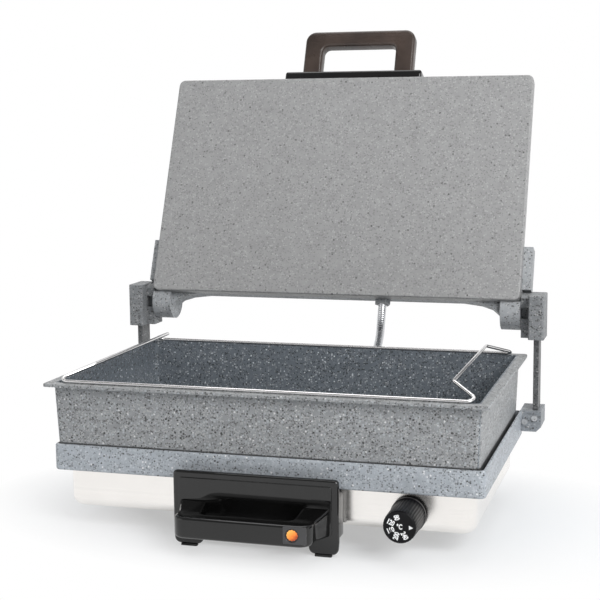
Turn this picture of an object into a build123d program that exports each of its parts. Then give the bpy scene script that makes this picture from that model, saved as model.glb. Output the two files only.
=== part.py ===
from build123d import *
import math
import os

os.makedirs("parts", exist_ok=True)

# Electric flatbread maker, lid open, with a deep pan in the lower casting.
# Millimetres, +Z up, front towards -Y. The origin lies on the worktop, under the
# middle of the open machine's outline.

# Where the casting's middle lies along Y, and the height of the housing's underside
casting_y = -45.5
stance_h = 22.0

# Steel housing
housing_w = 406.0
housing_d = 246.0
housing_h = 38.0
housing_wall = 1.2
housing_corner_r = 16.0
housing_edge_r = 9.0

# Lower casting: a heating plate with a raised rim round the pan's recess
casting_w = 426.0
casting_d = 262.0
casting_h = 26.0
casting_corner_r = 6.0
casting_edge_r = 2.0
rim_w = 2.5
recess_depth = 16.0
recess_corner_r = 5.0

# Deep pan: it sits loosely in the recess, a little to the left and the front
pan_gap = 2.5
pan_shift_x = -1.5
pan_shift_y = -1.0
pan_h = 77.0
pan_wall = 3.0
pan_draft = 3.0
pan_corner_r = 6.0
pan_inner_r = 5.0
pan_bottom_r = 5.0
flange_w = 7.5
flange_t = 3.0
flange_corner_r = 4.0

# Wire lifting frame on the pan's flange
wire_d = 3.4
wire_inset_x = 9.0
wire_inset_y = 9.0
wire_bend_r = 6.0
bail_rise = 12.3
bail_lean = 30.0
bail_setback = 30.5

# Flat posts, their ears on the casting, and the hinge blocks
post_t = 5.5
post_w = 22.0
post_x = 227.3
post_y = 135.0
post_top_z = 206.0
ear_wall = 4.0
ear_front = 6.0
ear_d = 38.0
ear_h = 22.5
ear_drop = 20.0
ear_bevel = 5.0
block_w = 16.5
block_d = 36.0
block_h = 47.0
block_top_t = 6.7
block_edge_r = 2.0
cheek_t = 9.2
cheek_d = 22.0
cheek_r = 20.5
notch_h = 12.0
notch_d = 7.0
fit_gap = 0.3
slide_gap = 0.25
press_gap = 0.01

# Hinge axis and lid
hinge_y = 141.0
hinge_z = 192.0
lid_open_deg = 113.0
pin_d = 10.0
pin_gap = 0.08
pin_seat = 4.0
eye_r = 20.0
lug_w = 21.5
plate_w = 419.0
plate_d = 259.0
plate_t = 12.0
plate_drop = 25.0
plate_setback = 6.0
plate_corner_r = 7.0
plate_edge_r = 1.6
cover_inset = 11.0
cover_h = 23.0
cover_wall = 3.0
cover_corner_r = 16.0
cover_edge_r = 6.0
arm_len = 48.0
arm_h = 17.5
gusset_w = 46.0
boss_d = 12.0

# Handles: a base plate and a grip at the front, and the same on the lid
handle_w = 162.0
grip_w = 132.0
grip_arm = 22.0
grip_corner_r = 11.0
grip_edge_r = 3.0
front_plate_h = 60.0
front_plate_top = 73.0
front_plate_t = 8.0
front_plate_bevel = 3.0
front_box_d = 19.0
front_box_h = 44.0
front_box_wall = 4.0
front_reach = 44.0
front_bar_z = 31.5
front_bar_h = 20.0
front_bar_d = 17.0
front_splay = 7.0
foot_lobe_w = 28.0
lid_base_t = 12.5
lid_base_d = 36.0
lid_base_bevel = 3.0
lid_reach = 58.0
lid_grip_d = 16.0
lid_grip_bar = 19.0

# Knob and thermostat
knob_x = 142.0
knob_z = 40.0
knob_d = 31.4
knob_skirt_d = 33.4
knob_len = 40.0
knob_gap = 4.0
knob_wall = 2.4
knob_hub_d = 12.0
shaft_d = 6.0
shaft_gap = 0.06
bush_d = 9.6
thermostat_w = 34.0
thermostat_h = 17.0
thermostat_d = 26.0

# Signal lamp in the front grip
lamp_x = 52.5
lamp_z = 33.0
lamp_w = 22.0
lamp_h = 16.0
lamp_lens_d = 12.4
lamp_lens_shift = 2.5
lamp_bezel_t = 1.6

# Heating elements, retainers, insulation
element_d = 7.0
element_gap = 0.15
element_bend_r = 22.0
element_w = 330.0
element_run = 150.0
element_tail = 26.0
retainer_t = 1.5
retainer_w = 12.0
shield_t = 0.8
mat_t = 5.5

# Screws
screw_d = 4.0
head_d = 8.0
head_h = 2.4
big_screw_d = 5.0
big_head_d = 9.0
small_screw_d = 3.0
small_head_d = 6.4
screw_gap = 0.02

# Rear feet and front pads
foot_d = 22.0
foot_inset_x = 43.0
foot_inset_y = 25.0
pad_h = 2.0

# Armoured conduit and glands
conduit_d = 9.2
conduit_bore = 6.2
conduit_x = 56.5
conduit_low_x = 36.0
gland_d = 17.0
gland_len = 11.0
lid_gland_len = 6.0
gland_neck_d = 12.0
gland_nut_t = 4.0
inlet_x = -120.0
inlet_bore = 8.0

# Heights and places that follow from the sizes above
casting_z = stance_h + housing_h
rim_z = casting_z + casting_h
recess_z = rim_z - recess_depth
pan_rim_z = recess_z + pan_h
wire_z = pan_rim_z + wire_d / 2
front_y = -housing_d / 2
rear_y = housing_d / 2
gland_z = stance_h + housing_h / 2
handle_screw_rise = housing_h - housing_edge_r - 13
handle_screw_z = casting_z - handle_screw_rise / 2 - 9
handle_screw_span = grip_w + 2
foot_x = housing_w / 2 - foot_inset_x
foot_y = housing_d / 2 - foot_inset_y
recess_w = casting_w - 2 * rim_w
recess_d = casting_d - 2 * rim_w
pan_w = recess_w - 2 * pan_gap
pan_d = recess_d - 2 * pan_gap
flange_out_w = pan_w + 2 * pan_draft + 2 * flange_w
flange_out_d = pan_d + 2 * pan_draft + 2 * flange_w
post_in_x = post_x - post_t / 2
post_out_x = post_x + post_t / 2
ear_z = casting_z + casting_h - ear_drop
ear_out_x = post_out_x + ear_wall
ear_in_x = recess_w / 2 + 1.5
ear_front_y = post_y - post_w / 2 - ear_front
ear_rear_y = ear_front_y + ear_d
post_z = ear_z + 1
block_x = post_x + 0.4
block_in_x = block_x - block_w / 2
block_y = post_y - post_w / 2 - 10 + block_d / 2
block_z = post_top_z + block_top_t - block_h
cheek_x = block_in_x - cheek_t / 2
lug_out_x = block_in_x - cheek_t - fit_gap
lug_x = lug_out_x - lug_w / 2
lug_in_x = lug_out_x - lug_w
cover_z = plate_t - plate_drop
cover_w = plate_w - 2 * cover_inset
cover_near = plate_setback + 2
cover_d = plate_d - 12
cover_mid = -cover_near - cover_d / 2
plate_mid = -plate_setback - plate_d / 2
plate_end = plate_setback + plate_d
cover_end = cover_near + cover_d
gland_side = cover_z + 10
lid_base_y = plate_end + 0.3
lid_base_z = cover_z + 12
lid_grip_z = cover_z + 20
lid_spacer_z = cover_z + 10
lid_spacer_h = 11.0
lid_plate_screw_places = [(-grip_w / 2 + 10, lid_spacer_z), (grip_w / 2 - 10, lid_spacer_z)]
lid_grip_screw_places = [(-grip_w / 2 + 10, lid_grip_z), (grip_w / 2 - 10, lid_grip_z)]
lid_open = math.radians(lid_open_deg)
handle_y = front_y - front_box_d
plate_front_y = handle_y - front_plate_t
bar_front_y = plate_front_y - front_reach
tie_x = housing_w / 2 - 18
tie_y = housing_d / 2 - 19
tie_places = [(-tie_x, 0), (tie_x, 0), (-95, tie_y), (95, tie_y), (-95, -tie_y), (95, -tie_y)]
lid_screw_places = [
    (-184, plate_mid), (184, plate_mid),
    (-100, plate_mid + 99), (100, plate_mid + 99),
    (-100, plate_mid - 99), (100, plate_mid - 99),
]
retainer_rows = [-element_run / 5, element_run / 5]
retainer_places = [(x, y) for x in (-110, 0, 110) for y in retainer_rows]

# Planes that the pieces are drawn on
deck = Plane(origin=(0, casting_y, 0))
pan_seat = Plane(origin=(pan_shift_x, casting_y + pan_shift_y, 0))
lid = Plane(
    origin=(0, casting_y + hinge_y, hinge_z),
    x_dir=(1, 0, 0),
    z_dir=(0, math.sin(lid_open), math.cos(lid_open)),
)
lid_up = Axis(lid.origin, lid.z_dir)
lid_out = Axis(lid.origin, -lid.y_dir)


def side_plane(x):
    """Upright plane across X: local x runs to the rear, local y runs up."""
    return Plane(origin=(x, casting_y, 0), x_dir=(0, 1, 0), z_dir=(1, 0, 0))


def face_plane(y):
    """Upright plane that faces the front: local x runs right, local y runs up."""
    return Plane(origin=(0, casting_y + y, 0), x_dir=(1, 0, 0), z_dir=(0, -1, 0))


def lid_side_plane(x):
    """Plane across X in the lid: local x runs towards the hinge, local y off the back."""
    start = lid.origin + Vector(x, 0, 0)
    return Plane(origin=start, x_dir=lid.y_dir, z_dir=(1, 0, 0))


def lid_end_plane(reach):
    """Plane across the lid at a reach from the hinge axis, facing the free end."""
    start = lid.origin - lid.y_dir * reach
    return Plane(origin=start, x_dir=(1, 0, 0), z_dir=-lid.y_dir)


def in_lid(x, y, z):
    """A point given in the lid's own directions, as a point of the whole machine."""
    return lid.origin + Vector(x, 0, 0) + lid.y_dir * y + lid.z_dir * z


def off_root(edge):
    """How far an edge of the lid's grip lies beyond the grip's root."""
    return (edge.center() - lid.origin).dot(-lid.y_dir) - lid_base_y - lid_base_t


def save(piece, name):
    """Label a finished piece and write it as its own file."""
    piece.label = name
    export_step(piece, f"parts/{name}.step")


def element_path(base, mid_y, height, tail_sign):
    """The looped centre line of a heating element, on a plane."""
    half_w = element_w / 2
    half_run = element_run / 2
    points = [
        (-20, half_run + element_tail), (-20, half_run),
        (-half_w, half_run), (-half_w, -half_run),
        (-half_w / 2.8, -half_run), (-half_w / 2.8, 10),
        (half_w / 2.8, 10), (half_w / 2.8, -half_run),
        (half_w, -half_run), (half_w, half_run),
        (20, half_run), (20, half_run + element_tail),
    ]
    placed = []
    for x, y in points:
        spot = base.origin + base.x_dir * x + base.y_dir * (mid_y + tail_sign * y)
        placed.append(spot + base.z_dir * height)
    return FilletPolyline(*placed, radius=element_bend_r)


def element_start(base, path):
    """The plane square to the start of an element's centre line."""
    return Plane(origin=path @ 0, x_dir=base.x_dir, z_dir=path % 0)


lower_line = element_path(deck, 0, casting_z + element_d / 2, 1)
upper_line = element_path(lid, plate_mid, cover_z - element_d / 2, 1)


def round_rod(base, path, radius):
    """A round rod swept along an element's centre line."""
    section = element_start(base, path) * Circle(radius)
    return sweep(section, path=path)


def groove_tool(base, path, depth_dir):
    """The groove for an element: round at the bottom, open at the plate's face."""
    radius = element_d / 2 + element_gap
    start = element_start(base, path)
    side = start.y_dir.dot(base.z_dir) * depth_dir
    box = start * Pos(0, side * radius) * Rectangle(2 * radius, 2 * radius)
    return [round_rod(base, path, radius), sweep(box, path=path)]


lower_groove = groove_tool(deck, lower_line, -1)
upper_groove = groove_tool(lid, upper_line, 1)
lower_rod = round_rod(deck, lower_line, element_d / 2)
upper_rod = round_rod(lid, upper_line, element_d / 2)

# Steel housing: a pressed tray, open at the top
with BuildPart() as base_housing:
    with BuildSketch(deck.offset(stance_h)):
        RectangleRounded(housing_w, housing_d, housing_corner_r)
    extrude(amount=housing_h)
    fillet(base_housing.faces().sort_by(Axis.Z)[0].edges(), housing_edge_r)
    offset(amount=-housing_wall, openings=base_housing.faces().sort_by(Axis.Z)[-1])
    # hole for the thermostat's bush, holes for the handle's screws
    with BuildSketch(face_plane(front_y)):
        with Locations((knob_x, knob_z)):
            Circle(bush_d / 2 + 0.2)
        with Locations((0, handle_screw_z)):
            with GridLocations(handle_screw_span, handle_screw_rise, 2, 2):
                Circle(screw_d / 2 + 0.2)
    extrude(amount=-housing_wall - 1, mode=Mode.SUBTRACT)
    # holes for the conduit's gland and the cord's inlet in the rear wall
    with BuildSketch(face_plane(rear_y)):
        with Locations((conduit_low_x, gland_z), (inlet_x, gland_z)):
            Circle(gland_neck_d / 2 + 0.1)
    extrude(amount=housing_wall + 1, mode=Mode.SUBTRACT)
    # screw holes and cooling slots in the underside
    with BuildSketch(deck.offset(stance_h)):
        with Locations((-foot_x, foot_y), (foot_x, foot_y)):
            Circle(screw_d / 2 + 0.2)
        with Locations(*tie_places):
            Circle(big_screw_d / 2 + 0.2)
        with Locations((0, 10)):
            with GridLocations(70, 16, 3, 4):
                SlotOverall(46, 4)
    extrude(amount=housing_wall + 1, mode=Mode.SUBTRACT)
save(base_housing.part, "base_housing")

# Lower casting, with the pan's recess and an ear for a post at each rear corner
with BuildPart() as lower_casting:
    with BuildSketch(deck.offset(casting_z)):
        RectangleRounded(casting_w, casting_d, casting_corner_r)
    extrude(amount=casting_h)
    fillet(lower_casting.faces().sort_by(Axis.Z)[-1].edges(), casting_edge_r)
    fillet(lower_casting.faces().sort_by(Axis.Z)[0].edges(), casting_edge_r)
    for side in (-1, 1):
        with BuildSketch(face_plane(ear_front_y)):
            with BuildLine():
                Polyline(
                    (side * ear_in_x, ear_z),
                    (side * (ear_out_x - ear_bevel), ear_z),
                    (side * ear_out_x, ear_z + ear_bevel),
                    (side * ear_out_x, ear_z + ear_h),
                    (side * ear_in_x, ear_z + ear_h),
                    close=True,
                )
            make_face()
        extrude(amount=-ear_d)
        with BuildSketch(deck.offset(ear_z)):
            with BuildLine():
                Polyline(
                    (side * (ear_in_x + 2), ear_front_y + 6),
                    (side * (ear_in_x + 2), ear_rear_y - 2),
                    (side * (ear_in_x - 3), casting_d / 2 + 7),
                    (side * (ear_in_x - 14), casting_d / 2 - 1),
                    close=True,
                )
            make_face()
        extrude(amount=rim_z - ear_z - casting_edge_r)
    # the pan's recess
    with BuildSketch(deck.offset(recess_z)):
        RectangleRounded(recess_w, recess_d, recess_corner_r)
    extrude(amount=recess_depth + ear_h, mode=Mode.SUBTRACT)
    # the posts' slots
    with BuildSketch(deck.offset(post_z)):
        with Locations((-post_x, post_y), (post_x, post_y)):
            Rectangle(post_t + 0.1, post_w + 0.1)
    extrude(amount=ear_h + 1, mode=Mode.SUBTRACT)
    # the post screws' holes
    with BuildSketch(face_plane(ear_front_y)):
        for side in (-1, 1):
            with Locations((side * post_x, ear_z + 15)):
                Circle(small_screw_d / 2 + screw_gap)
            with Locations((side * (post_in_x - 7.6), ear_z + 11)):
                Circle(small_screw_d / 2 + screw_gap)
    extrude(amount=-(ear_front + 6), mode=Mode.SUBTRACT)
    # element groove, tie screw holes and retainer screw holes in the underside
    add(lower_groove, mode=Mode.SUBTRACT)
    with BuildSketch(deck.offset(casting_z)):
        with Locations(*tie_places):
            Circle(big_screw_d / 2 + screw_gap)
        with Locations(*retainer_places):
            Circle(small_screw_d / 2 + screw_gap)
    extrude(amount=6, mode=Mode.SUBTRACT)
save(lower_casting.part, "lower_casting")

# Lower heating element, its retainer strips and their screws
with BuildPart() as lower_heating_element:
    add(lower_rod)
save(lower_heating_element.part, "lower_heating_element")

with BuildPart() as lower_element_retainers:
    with BuildSketch(deck.offset(casting_z)):
        for row in retainer_rows:
            with Locations((0, row)):
                Rectangle(element_w + 20, retainer_w)
        with Locations(*retainer_places):
            Circle(small_screw_d / 2 + 0.1, mode=Mode.SUBTRACT)
    extrude(amount=-retainer_t)
save(lower_element_retainers.part, "lower_element_retainers")

with BuildPart() as lower_retainer_screws:
    with BuildSketch(deck.offset(casting_z - retainer_t)):
        with Locations(*retainer_places):
            Circle(small_head_d / 2)
    extrude(amount=-head_h)
    with BuildSketch(deck.offset(casting_z - retainer_t)):
        with Locations(*retainer_places):
            Circle(small_screw_d / 2)
    extrude(amount=retainer_t + 5)
save(lower_retainer_screws.part, "lower_retainer_screws")

# Insulation mat and heat shield under the lower casting
mat_z = casting_z - retainer_t - head_h - mat_t
with BuildPart() as lower_insulation_mat:
    with BuildSketch(deck.offset(mat_z)):
        with Locations((0, 8)):
            RectangleRounded(element_w - 10, element_run + 4, 5)
    extrude(amount=mat_t)
save(lower_insulation_mat.part, "lower_insulation_mat")

with BuildPart() as heat_shield:
    with BuildSketch(deck.offset(mat_z - shield_t)):
        with Locations((0, 14)):
            RectangleRounded(housing_w - 24, element_run + 40, 8)
        with Locations(*tie_places):
            Circle(big_screw_d / 2 + 0.2, mode=Mode.SUBTRACT)
    extrude(amount=shield_t)
save(heat_shield.part, "heat_shield")

# Screws that tie the housing to the casting
with BuildPart() as housing_tie_screws:
    with BuildSketch(deck.offset(stance_h)):
        with Locations(*tie_places):
            Circle(big_head_d / 2)
    extrude(amount=-head_h)
    with BuildSketch(deck.offset(stance_h - head_h)):
        with Locations(*tie_places):
            RegularPolygon(1.8, 6)
    extrude(amount=head_h * 0.6, mode=Mode.SUBTRACT)
    with BuildSketch(deck.offset(stance_h)):
        with Locations(*tie_places):
            Circle(big_screw_d / 2)
    extrude(amount=housing_h + 5)
save(housing_tie_screws.part, "housing_tie_screws")

# Thermostat: body with its bush through the front wall, nut, shaft
body_front_y = front_y + housing_wall
with BuildPart() as thermostat_body:
    with BuildSketch(face_plane(body_front_y + thermostat_d)):
        with Locations((knob_x, knob_z)):
            RectangleRounded(thermostat_w, thermostat_h, 2)
    extrude(amount=thermostat_d)
    with BuildSketch(face_plane(body_front_y)):
        with Locations((knob_x, knob_z)):
            Circle(bush_d / 2)
    extrude(amount=housing_wall + knob_gap - 0.5)
    with BuildSketch(face_plane(body_front_y + 10)):
        with Locations((knob_x, knob_z)):
            Circle(shaft_d / 2 + shaft_gap)
    extrude(amount=10 + housing_wall + knob_gap, mode=Mode.SUBTRACT)
    for x in (-10, 10):
        with BuildSketch(face_plane(body_front_y + thermostat_d)):
            with Locations((knob_x + x, knob_z)):
                Rectangle(1, 6.3)
        extrude(amount=-9)
save(thermostat_body.part, "thermostat_body")

with BuildPart() as thermostat_nut:
    with BuildSketch(face_plane(front_y)):
        with Locations((knob_x, knob_z)):
            RegularPolygon(bush_d * 0.8, 6)
            Circle(bush_d / 2 + screw_gap, mode=Mode.SUBTRACT)
    extrude(amount=knob_gap - 1)
save(thermostat_nut.part, "thermostat_nut")

knob_rear_y = front_y - knob_gap
with BuildPart() as thermostat_shaft:
    with BuildSketch(face_plane(body_front_y + 9.7)):
        with Locations((knob_x, knob_z)):
            Circle(shaft_d / 2)
    extrude(amount=9.7 + housing_wall + knob_gap + knob_len - 12)
save(thermostat_shaft.part, "thermostat_shaft")

# Knob: a tapered cup with a hub on the shaft
with BuildPart() as control_knob:
    with BuildSketch(face_plane(knob_rear_y)):
        with Locations((knob_x, knob_z)):
            Circle(knob_skirt_d / 2)
    with BuildSketch(face_plane(knob_rear_y - knob_len)):
        with Locations((knob_x, knob_z)):
            Circle(knob_d / 2)
    loft()
    fillet(control_knob.faces().sort_by(Axis.Y)[0].edges(), 1.2)
    with BuildSketch(face_plane(knob_rear_y)):
        with Locations((knob_x, knob_z)):
            Circle(knob_d / 2 - knob_wall)
    extrude(amount=knob_len - 5, mode=Mode.SUBTRACT)
    with BuildSketch(face_plane(knob_rear_y - 2)):
        with Locations((knob_x, knob_z)):
            Circle(knob_hub_d / 2)
    extrude(amount=knob_len - 6)
    with BuildSketch(face_plane(knob_rear_y)):
        with Locations((knob_x, knob_z)):
            Circle(shaft_d / 2 + press_gap)
    extrude(amount=knob_len - 11.9, mode=Mode.SUBTRACT)
save(control_knob.part, "control_knob")

# Terminal block and earth stud on the housing's floor
floor_z = stance_h + housing_wall
with BuildPart() as terminal_block:
    with BuildSketch(deck.offset(floor_z)):
        with Locations((-60, 82)):
            Rectangle(46, 18)
    extrude(amount=10)
    with BuildSketch(deck.offset(floor_z + 10)):
        with Locations((-60, 82)):
            Rectangle(46, 9)
    extrude(amount=5)
    with BuildSketch(deck.offset(floor_z + 15)):
        with Locations((-60, 82)):
            with GridLocations(11, 1, 4, 1):
                Circle(2)
    extrude(amount=-4, mode=Mode.SUBTRACT)
save(terminal_block.part, "terminal_block")

with BuildPart() as earth_stud:
    with BuildSketch(deck.offset(floor_z)):
        with Locations((-110, 60)):
            Circle(screw_d / 2)
    extrude(amount=14)
    with BuildSketch(deck.offset(floor_z)):
        with Locations((-110, 60)):
            RegularPolygon(4.4, 6)
    extrude(amount=3.2)
save(earth_stud.part, "earth_stud")

# Rear rubber feet with their screws
with BuildPart() as rear_feet:
    with BuildSketch(deck):
        with Locations((-foot_x, foot_y), (foot_x, foot_y)):
            Circle(foot_d / 2)
    extrude(amount=stance_h)
    chamfer(rear_feet.faces().sort_by(Axis.Z)[:2].edges(), 1.5)
    with BuildSketch(deck):
        with Locations((-foot_x, foot_y), (foot_x, foot_y)):
            Circle(head_d / 2 + 0.3)
    extrude(amount=stance_h - 6, mode=Mode.SUBTRACT)
    with BuildSketch(deck):
        with Locations((-foot_x, foot_y), (foot_x, foot_y)):
            Circle(screw_d / 2 + screw_gap)
    extrude(amount=stance_h, mode=Mode.SUBTRACT)
save(rear_feet.part, "rear_feet")

with BuildPart() as rear_foot_screws:
    with BuildSketch(deck.offset(stance_h - 6 - head_h)):
        with Locations((-foot_x, foot_y), (foot_x, foot_y)):
            Circle(head_d / 2)
    extrude(amount=head_h)
    with BuildSketch(deck.offset(stance_h - 6 - head_h)):
        with Locations((-foot_x, foot_y), (foot_x, foot_y)):
            RegularPolygon(1.6, 6)
    extrude(amount=head_h * 0.6, mode=Mode.SUBTRACT)
    with BuildSketch(deck.offset(stance_h - 6)):
        with Locations((-foot_x, foot_y), (foot_x, foot_y)):
            Circle(screw_d / 2)
    extrude(amount=6 + housing_wall + 5)
save(rear_foot_screws.part, "rear_foot_screws")

# Front handle plate: a bevelled panel on a hollow spacer, with two foot lobes
with BuildPart() as front_handle_plate:
    with BuildSketch(face_plane(handle_y)):
        with Locations((0, front_plate_top - front_plate_h / 2)):
            Rectangle(handle_w, front_plate_h)
        chamfer(vertices(), 3)
        for side in (-1, 1):
            with Locations((side * (handle_w / 2 - foot_lobe_w / 2 - 1), pad_h + 10)):
                RectangleRounded(foot_lobe_w, 20, 5)
    extrude(amount=front_plate_t)
    chamfer(front_handle_plate.faces().sort_by(Axis.Y)[0].edges(), front_plate_bevel)
    with BuildSketch(face_plane(front_y)):
        with Locations((0, gland_z - 6)):
            RectangleRounded(handle_w - 4, front_box_h, 3)
    extrude(amount=front_box_d)
    with BuildSketch(face_plane(front_y)):
        with Locations((0, gland_z - 6)):
            Rectangle(handle_w - 4 - 2 * front_box_wall, front_box_h - 2 * front_box_wall)
    extrude(amount=front_box_d, mode=Mode.SUBTRACT)
    with BuildSketch(face_plane(front_y)):
        with Locations((0, handle_screw_z)):
            with GridLocations(handle_screw_span, handle_screw_rise, 2, 2):
                Circle(5)
    extrude(amount=front_box_d)
    with BuildSketch(face_plane(front_y)):
        with Locations((0, handle_screw_z)):
            with GridLocations(handle_screw_span, handle_screw_rise, 2, 2):
                Circle(screw_d / 2 + screw_gap)
    extrude(amount=14, mode=Mode.SUBTRACT)
    # holes for the grip's screws
    with BuildSketch(face_plane(handle_y)):
        with Locations((-grip_w / 2 + 8, front_bar_z), (grip_w / 2 - 8, front_bar_z)):
            Circle(screw_d / 2 + screw_gap)
    extrude(amount=front_plate_t, mode=Mode.SUBTRACT)
save(front_handle_plate.part, "front_handle_plate")

with BuildPart() as front_handle_screws:
    with BuildSketch(face_plane(body_front_y)):
        with Locations((0, handle_screw_z)):
            with GridLocations(handle_screw_span, handle_screw_rise, 2, 2):
                Circle(head_d / 2)
    extrude(amount=-head_h)
    with BuildSketch(face_plane(body_front_y)):
        with Locations((0, handle_screw_z)):
            with GridLocations(handle_screw_span, handle_screw_rise, 2, 2):
                Circle(screw_d / 2)
    extrude(amount=housing_wall + 13)
save(front_handle_screws.part, "front_handle_screws")

# Front grip: a bar on two arms, with the lamp's pocket in the bar
lens_x = lamp_x - lamp_lens_shift
with BuildPart() as front_handle_grip:
    with BuildSketch(deck.offset(front_bar_z - front_bar_h / 2)):
        with BuildLine():
            Polyline(
                (-grip_w / 2 - front_splay, plate_front_y),
                (-grip_w / 2, plate_front_y - front_reach / 2),
                (-grip_w / 2, bar_front_y),
                (grip_w / 2, bar_front_y),
                (grip_w / 2, plate_front_y - front_reach / 2),
                (grip_w / 2 + front_splay, plate_front_y),
                close=True,
            )
        make_face()
        fillet(vertices().sort_by(Axis.Y)[:2], grip_corner_r)
        with BuildLine():
            Polyline(
                (-grip_w / 2 + grip_arm - front_splay / 2, plate_front_y),
                (-grip_w / 2 + grip_arm, bar_front_y + front_bar_d),
                (grip_w / 2 - grip_arm, bar_front_y + front_bar_d),
                (grip_w / 2 - grip_arm + front_splay / 2, plate_front_y),
                close=True,
            )
        make_face(mode=Mode.SUBTRACT)
    extrude(amount=front_bar_h)
    top_and_bottom = front_handle_grip.faces().filter_by(Axis.Z)
    fillet(top_and_bottom.edges().filter_by(lambda e: e.center().Y < casting_y + plate_front_y - 1), grip_edge_r)
    with BuildSketch(face_plane(plate_front_y)):
        with Locations((-grip_w / 2 + 8, front_bar_z), (grip_w / 2 - 8, front_bar_z)):
            Circle(screw_d / 2 + screw_gap)
    extrude(amount=12.2, mode=Mode.SUBTRACT)
    with BuildSketch(face_plane(bar_front_y)):
        with Locations((lamp_x, lamp_z)):
            Rectangle(lamp_w + 0.1, lamp_h + 0.1)
    extrude(amount=-lamp_bezel_t, mode=Mode.SUBTRACT)
    with BuildSketch(face_plane(bar_front_y)):
        with Locations((lens_x, lamp_z)):
            Circle(lamp_lens_d / 2 - 1)
    extrude(amount=-front_bar_d + 2, mode=Mode.SUBTRACT)
save(front_handle_grip.part, "front_handle_grip")

with BuildPart() as front_grip_screws:
    with BuildSketch(face_plane(handle_y)):
        with Locations((-grip_w / 2 + 8, front_bar_z), (grip_w / 2 - 8, front_bar_z)):
            Circle(head_d / 2)
    extrude(amount=-head_h)
    with BuildSketch(face_plane(handle_y)):
        with Locations((-grip_w / 2 + 8, front_bar_z), (grip_w / 2 - 8, front_bar_z)):
            Circle(screw_d / 2)
    extrude(amount=front_plate_t + 12)
save(front_grip_screws.part, "front_grip_screws")

with BuildPart() as front_foot_pads:
    with BuildSketch(deck):
        for side in (-1, 1):
            with Locations((side * (handle_w / 2 - foot_lobe_w / 2 - 1), handle_y - front_plate_t / 2)):
                RectangleRounded(foot_lobe_w - 12, front_plate_t - 3, 1)
    extrude(amount=pad_h)
save(front_foot_pads.part, "front_foot_pads")

# Signal lamp: bezel, amber lens, neon body
with BuildPart() as lamp_bezel:
    with BuildSketch(face_plane(bar_front_y + lamp_bezel_t)):
        with Locations((lamp_x, lamp_z)):
            RectangleRounded(lamp_w, lamp_h, 1)
        with Locations((lens_x, lamp_z)):
            Circle(lamp_lens_d / 2 + 0.05, mode=Mode.SUBTRACT)
    extrude(amount=lamp_bezel_t)
save(lamp_bezel.part, "lamp_bezel")

with BuildPart() as lamp_lens:
    with BuildSketch(face_plane(bar_front_y + lamp_bezel_t)):
        with Locations((lens_x, lamp_z)):
            Circle(lamp_lens_d / 2)
    extrude(amount=lamp_bezel_t - 0.4)
save(lamp_lens.part, "lamp_lens")

with BuildPart() as lamp_body:
    with BuildSketch(face_plane(bar_front_y + lamp_bezel_t)):
        with Locations((lens_x, lamp_z)):
            Circle(lamp_lens_d / 2 - 1.1)
    extrude(amount=-11)
save(lamp_body.part, "lamp_body")

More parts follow.
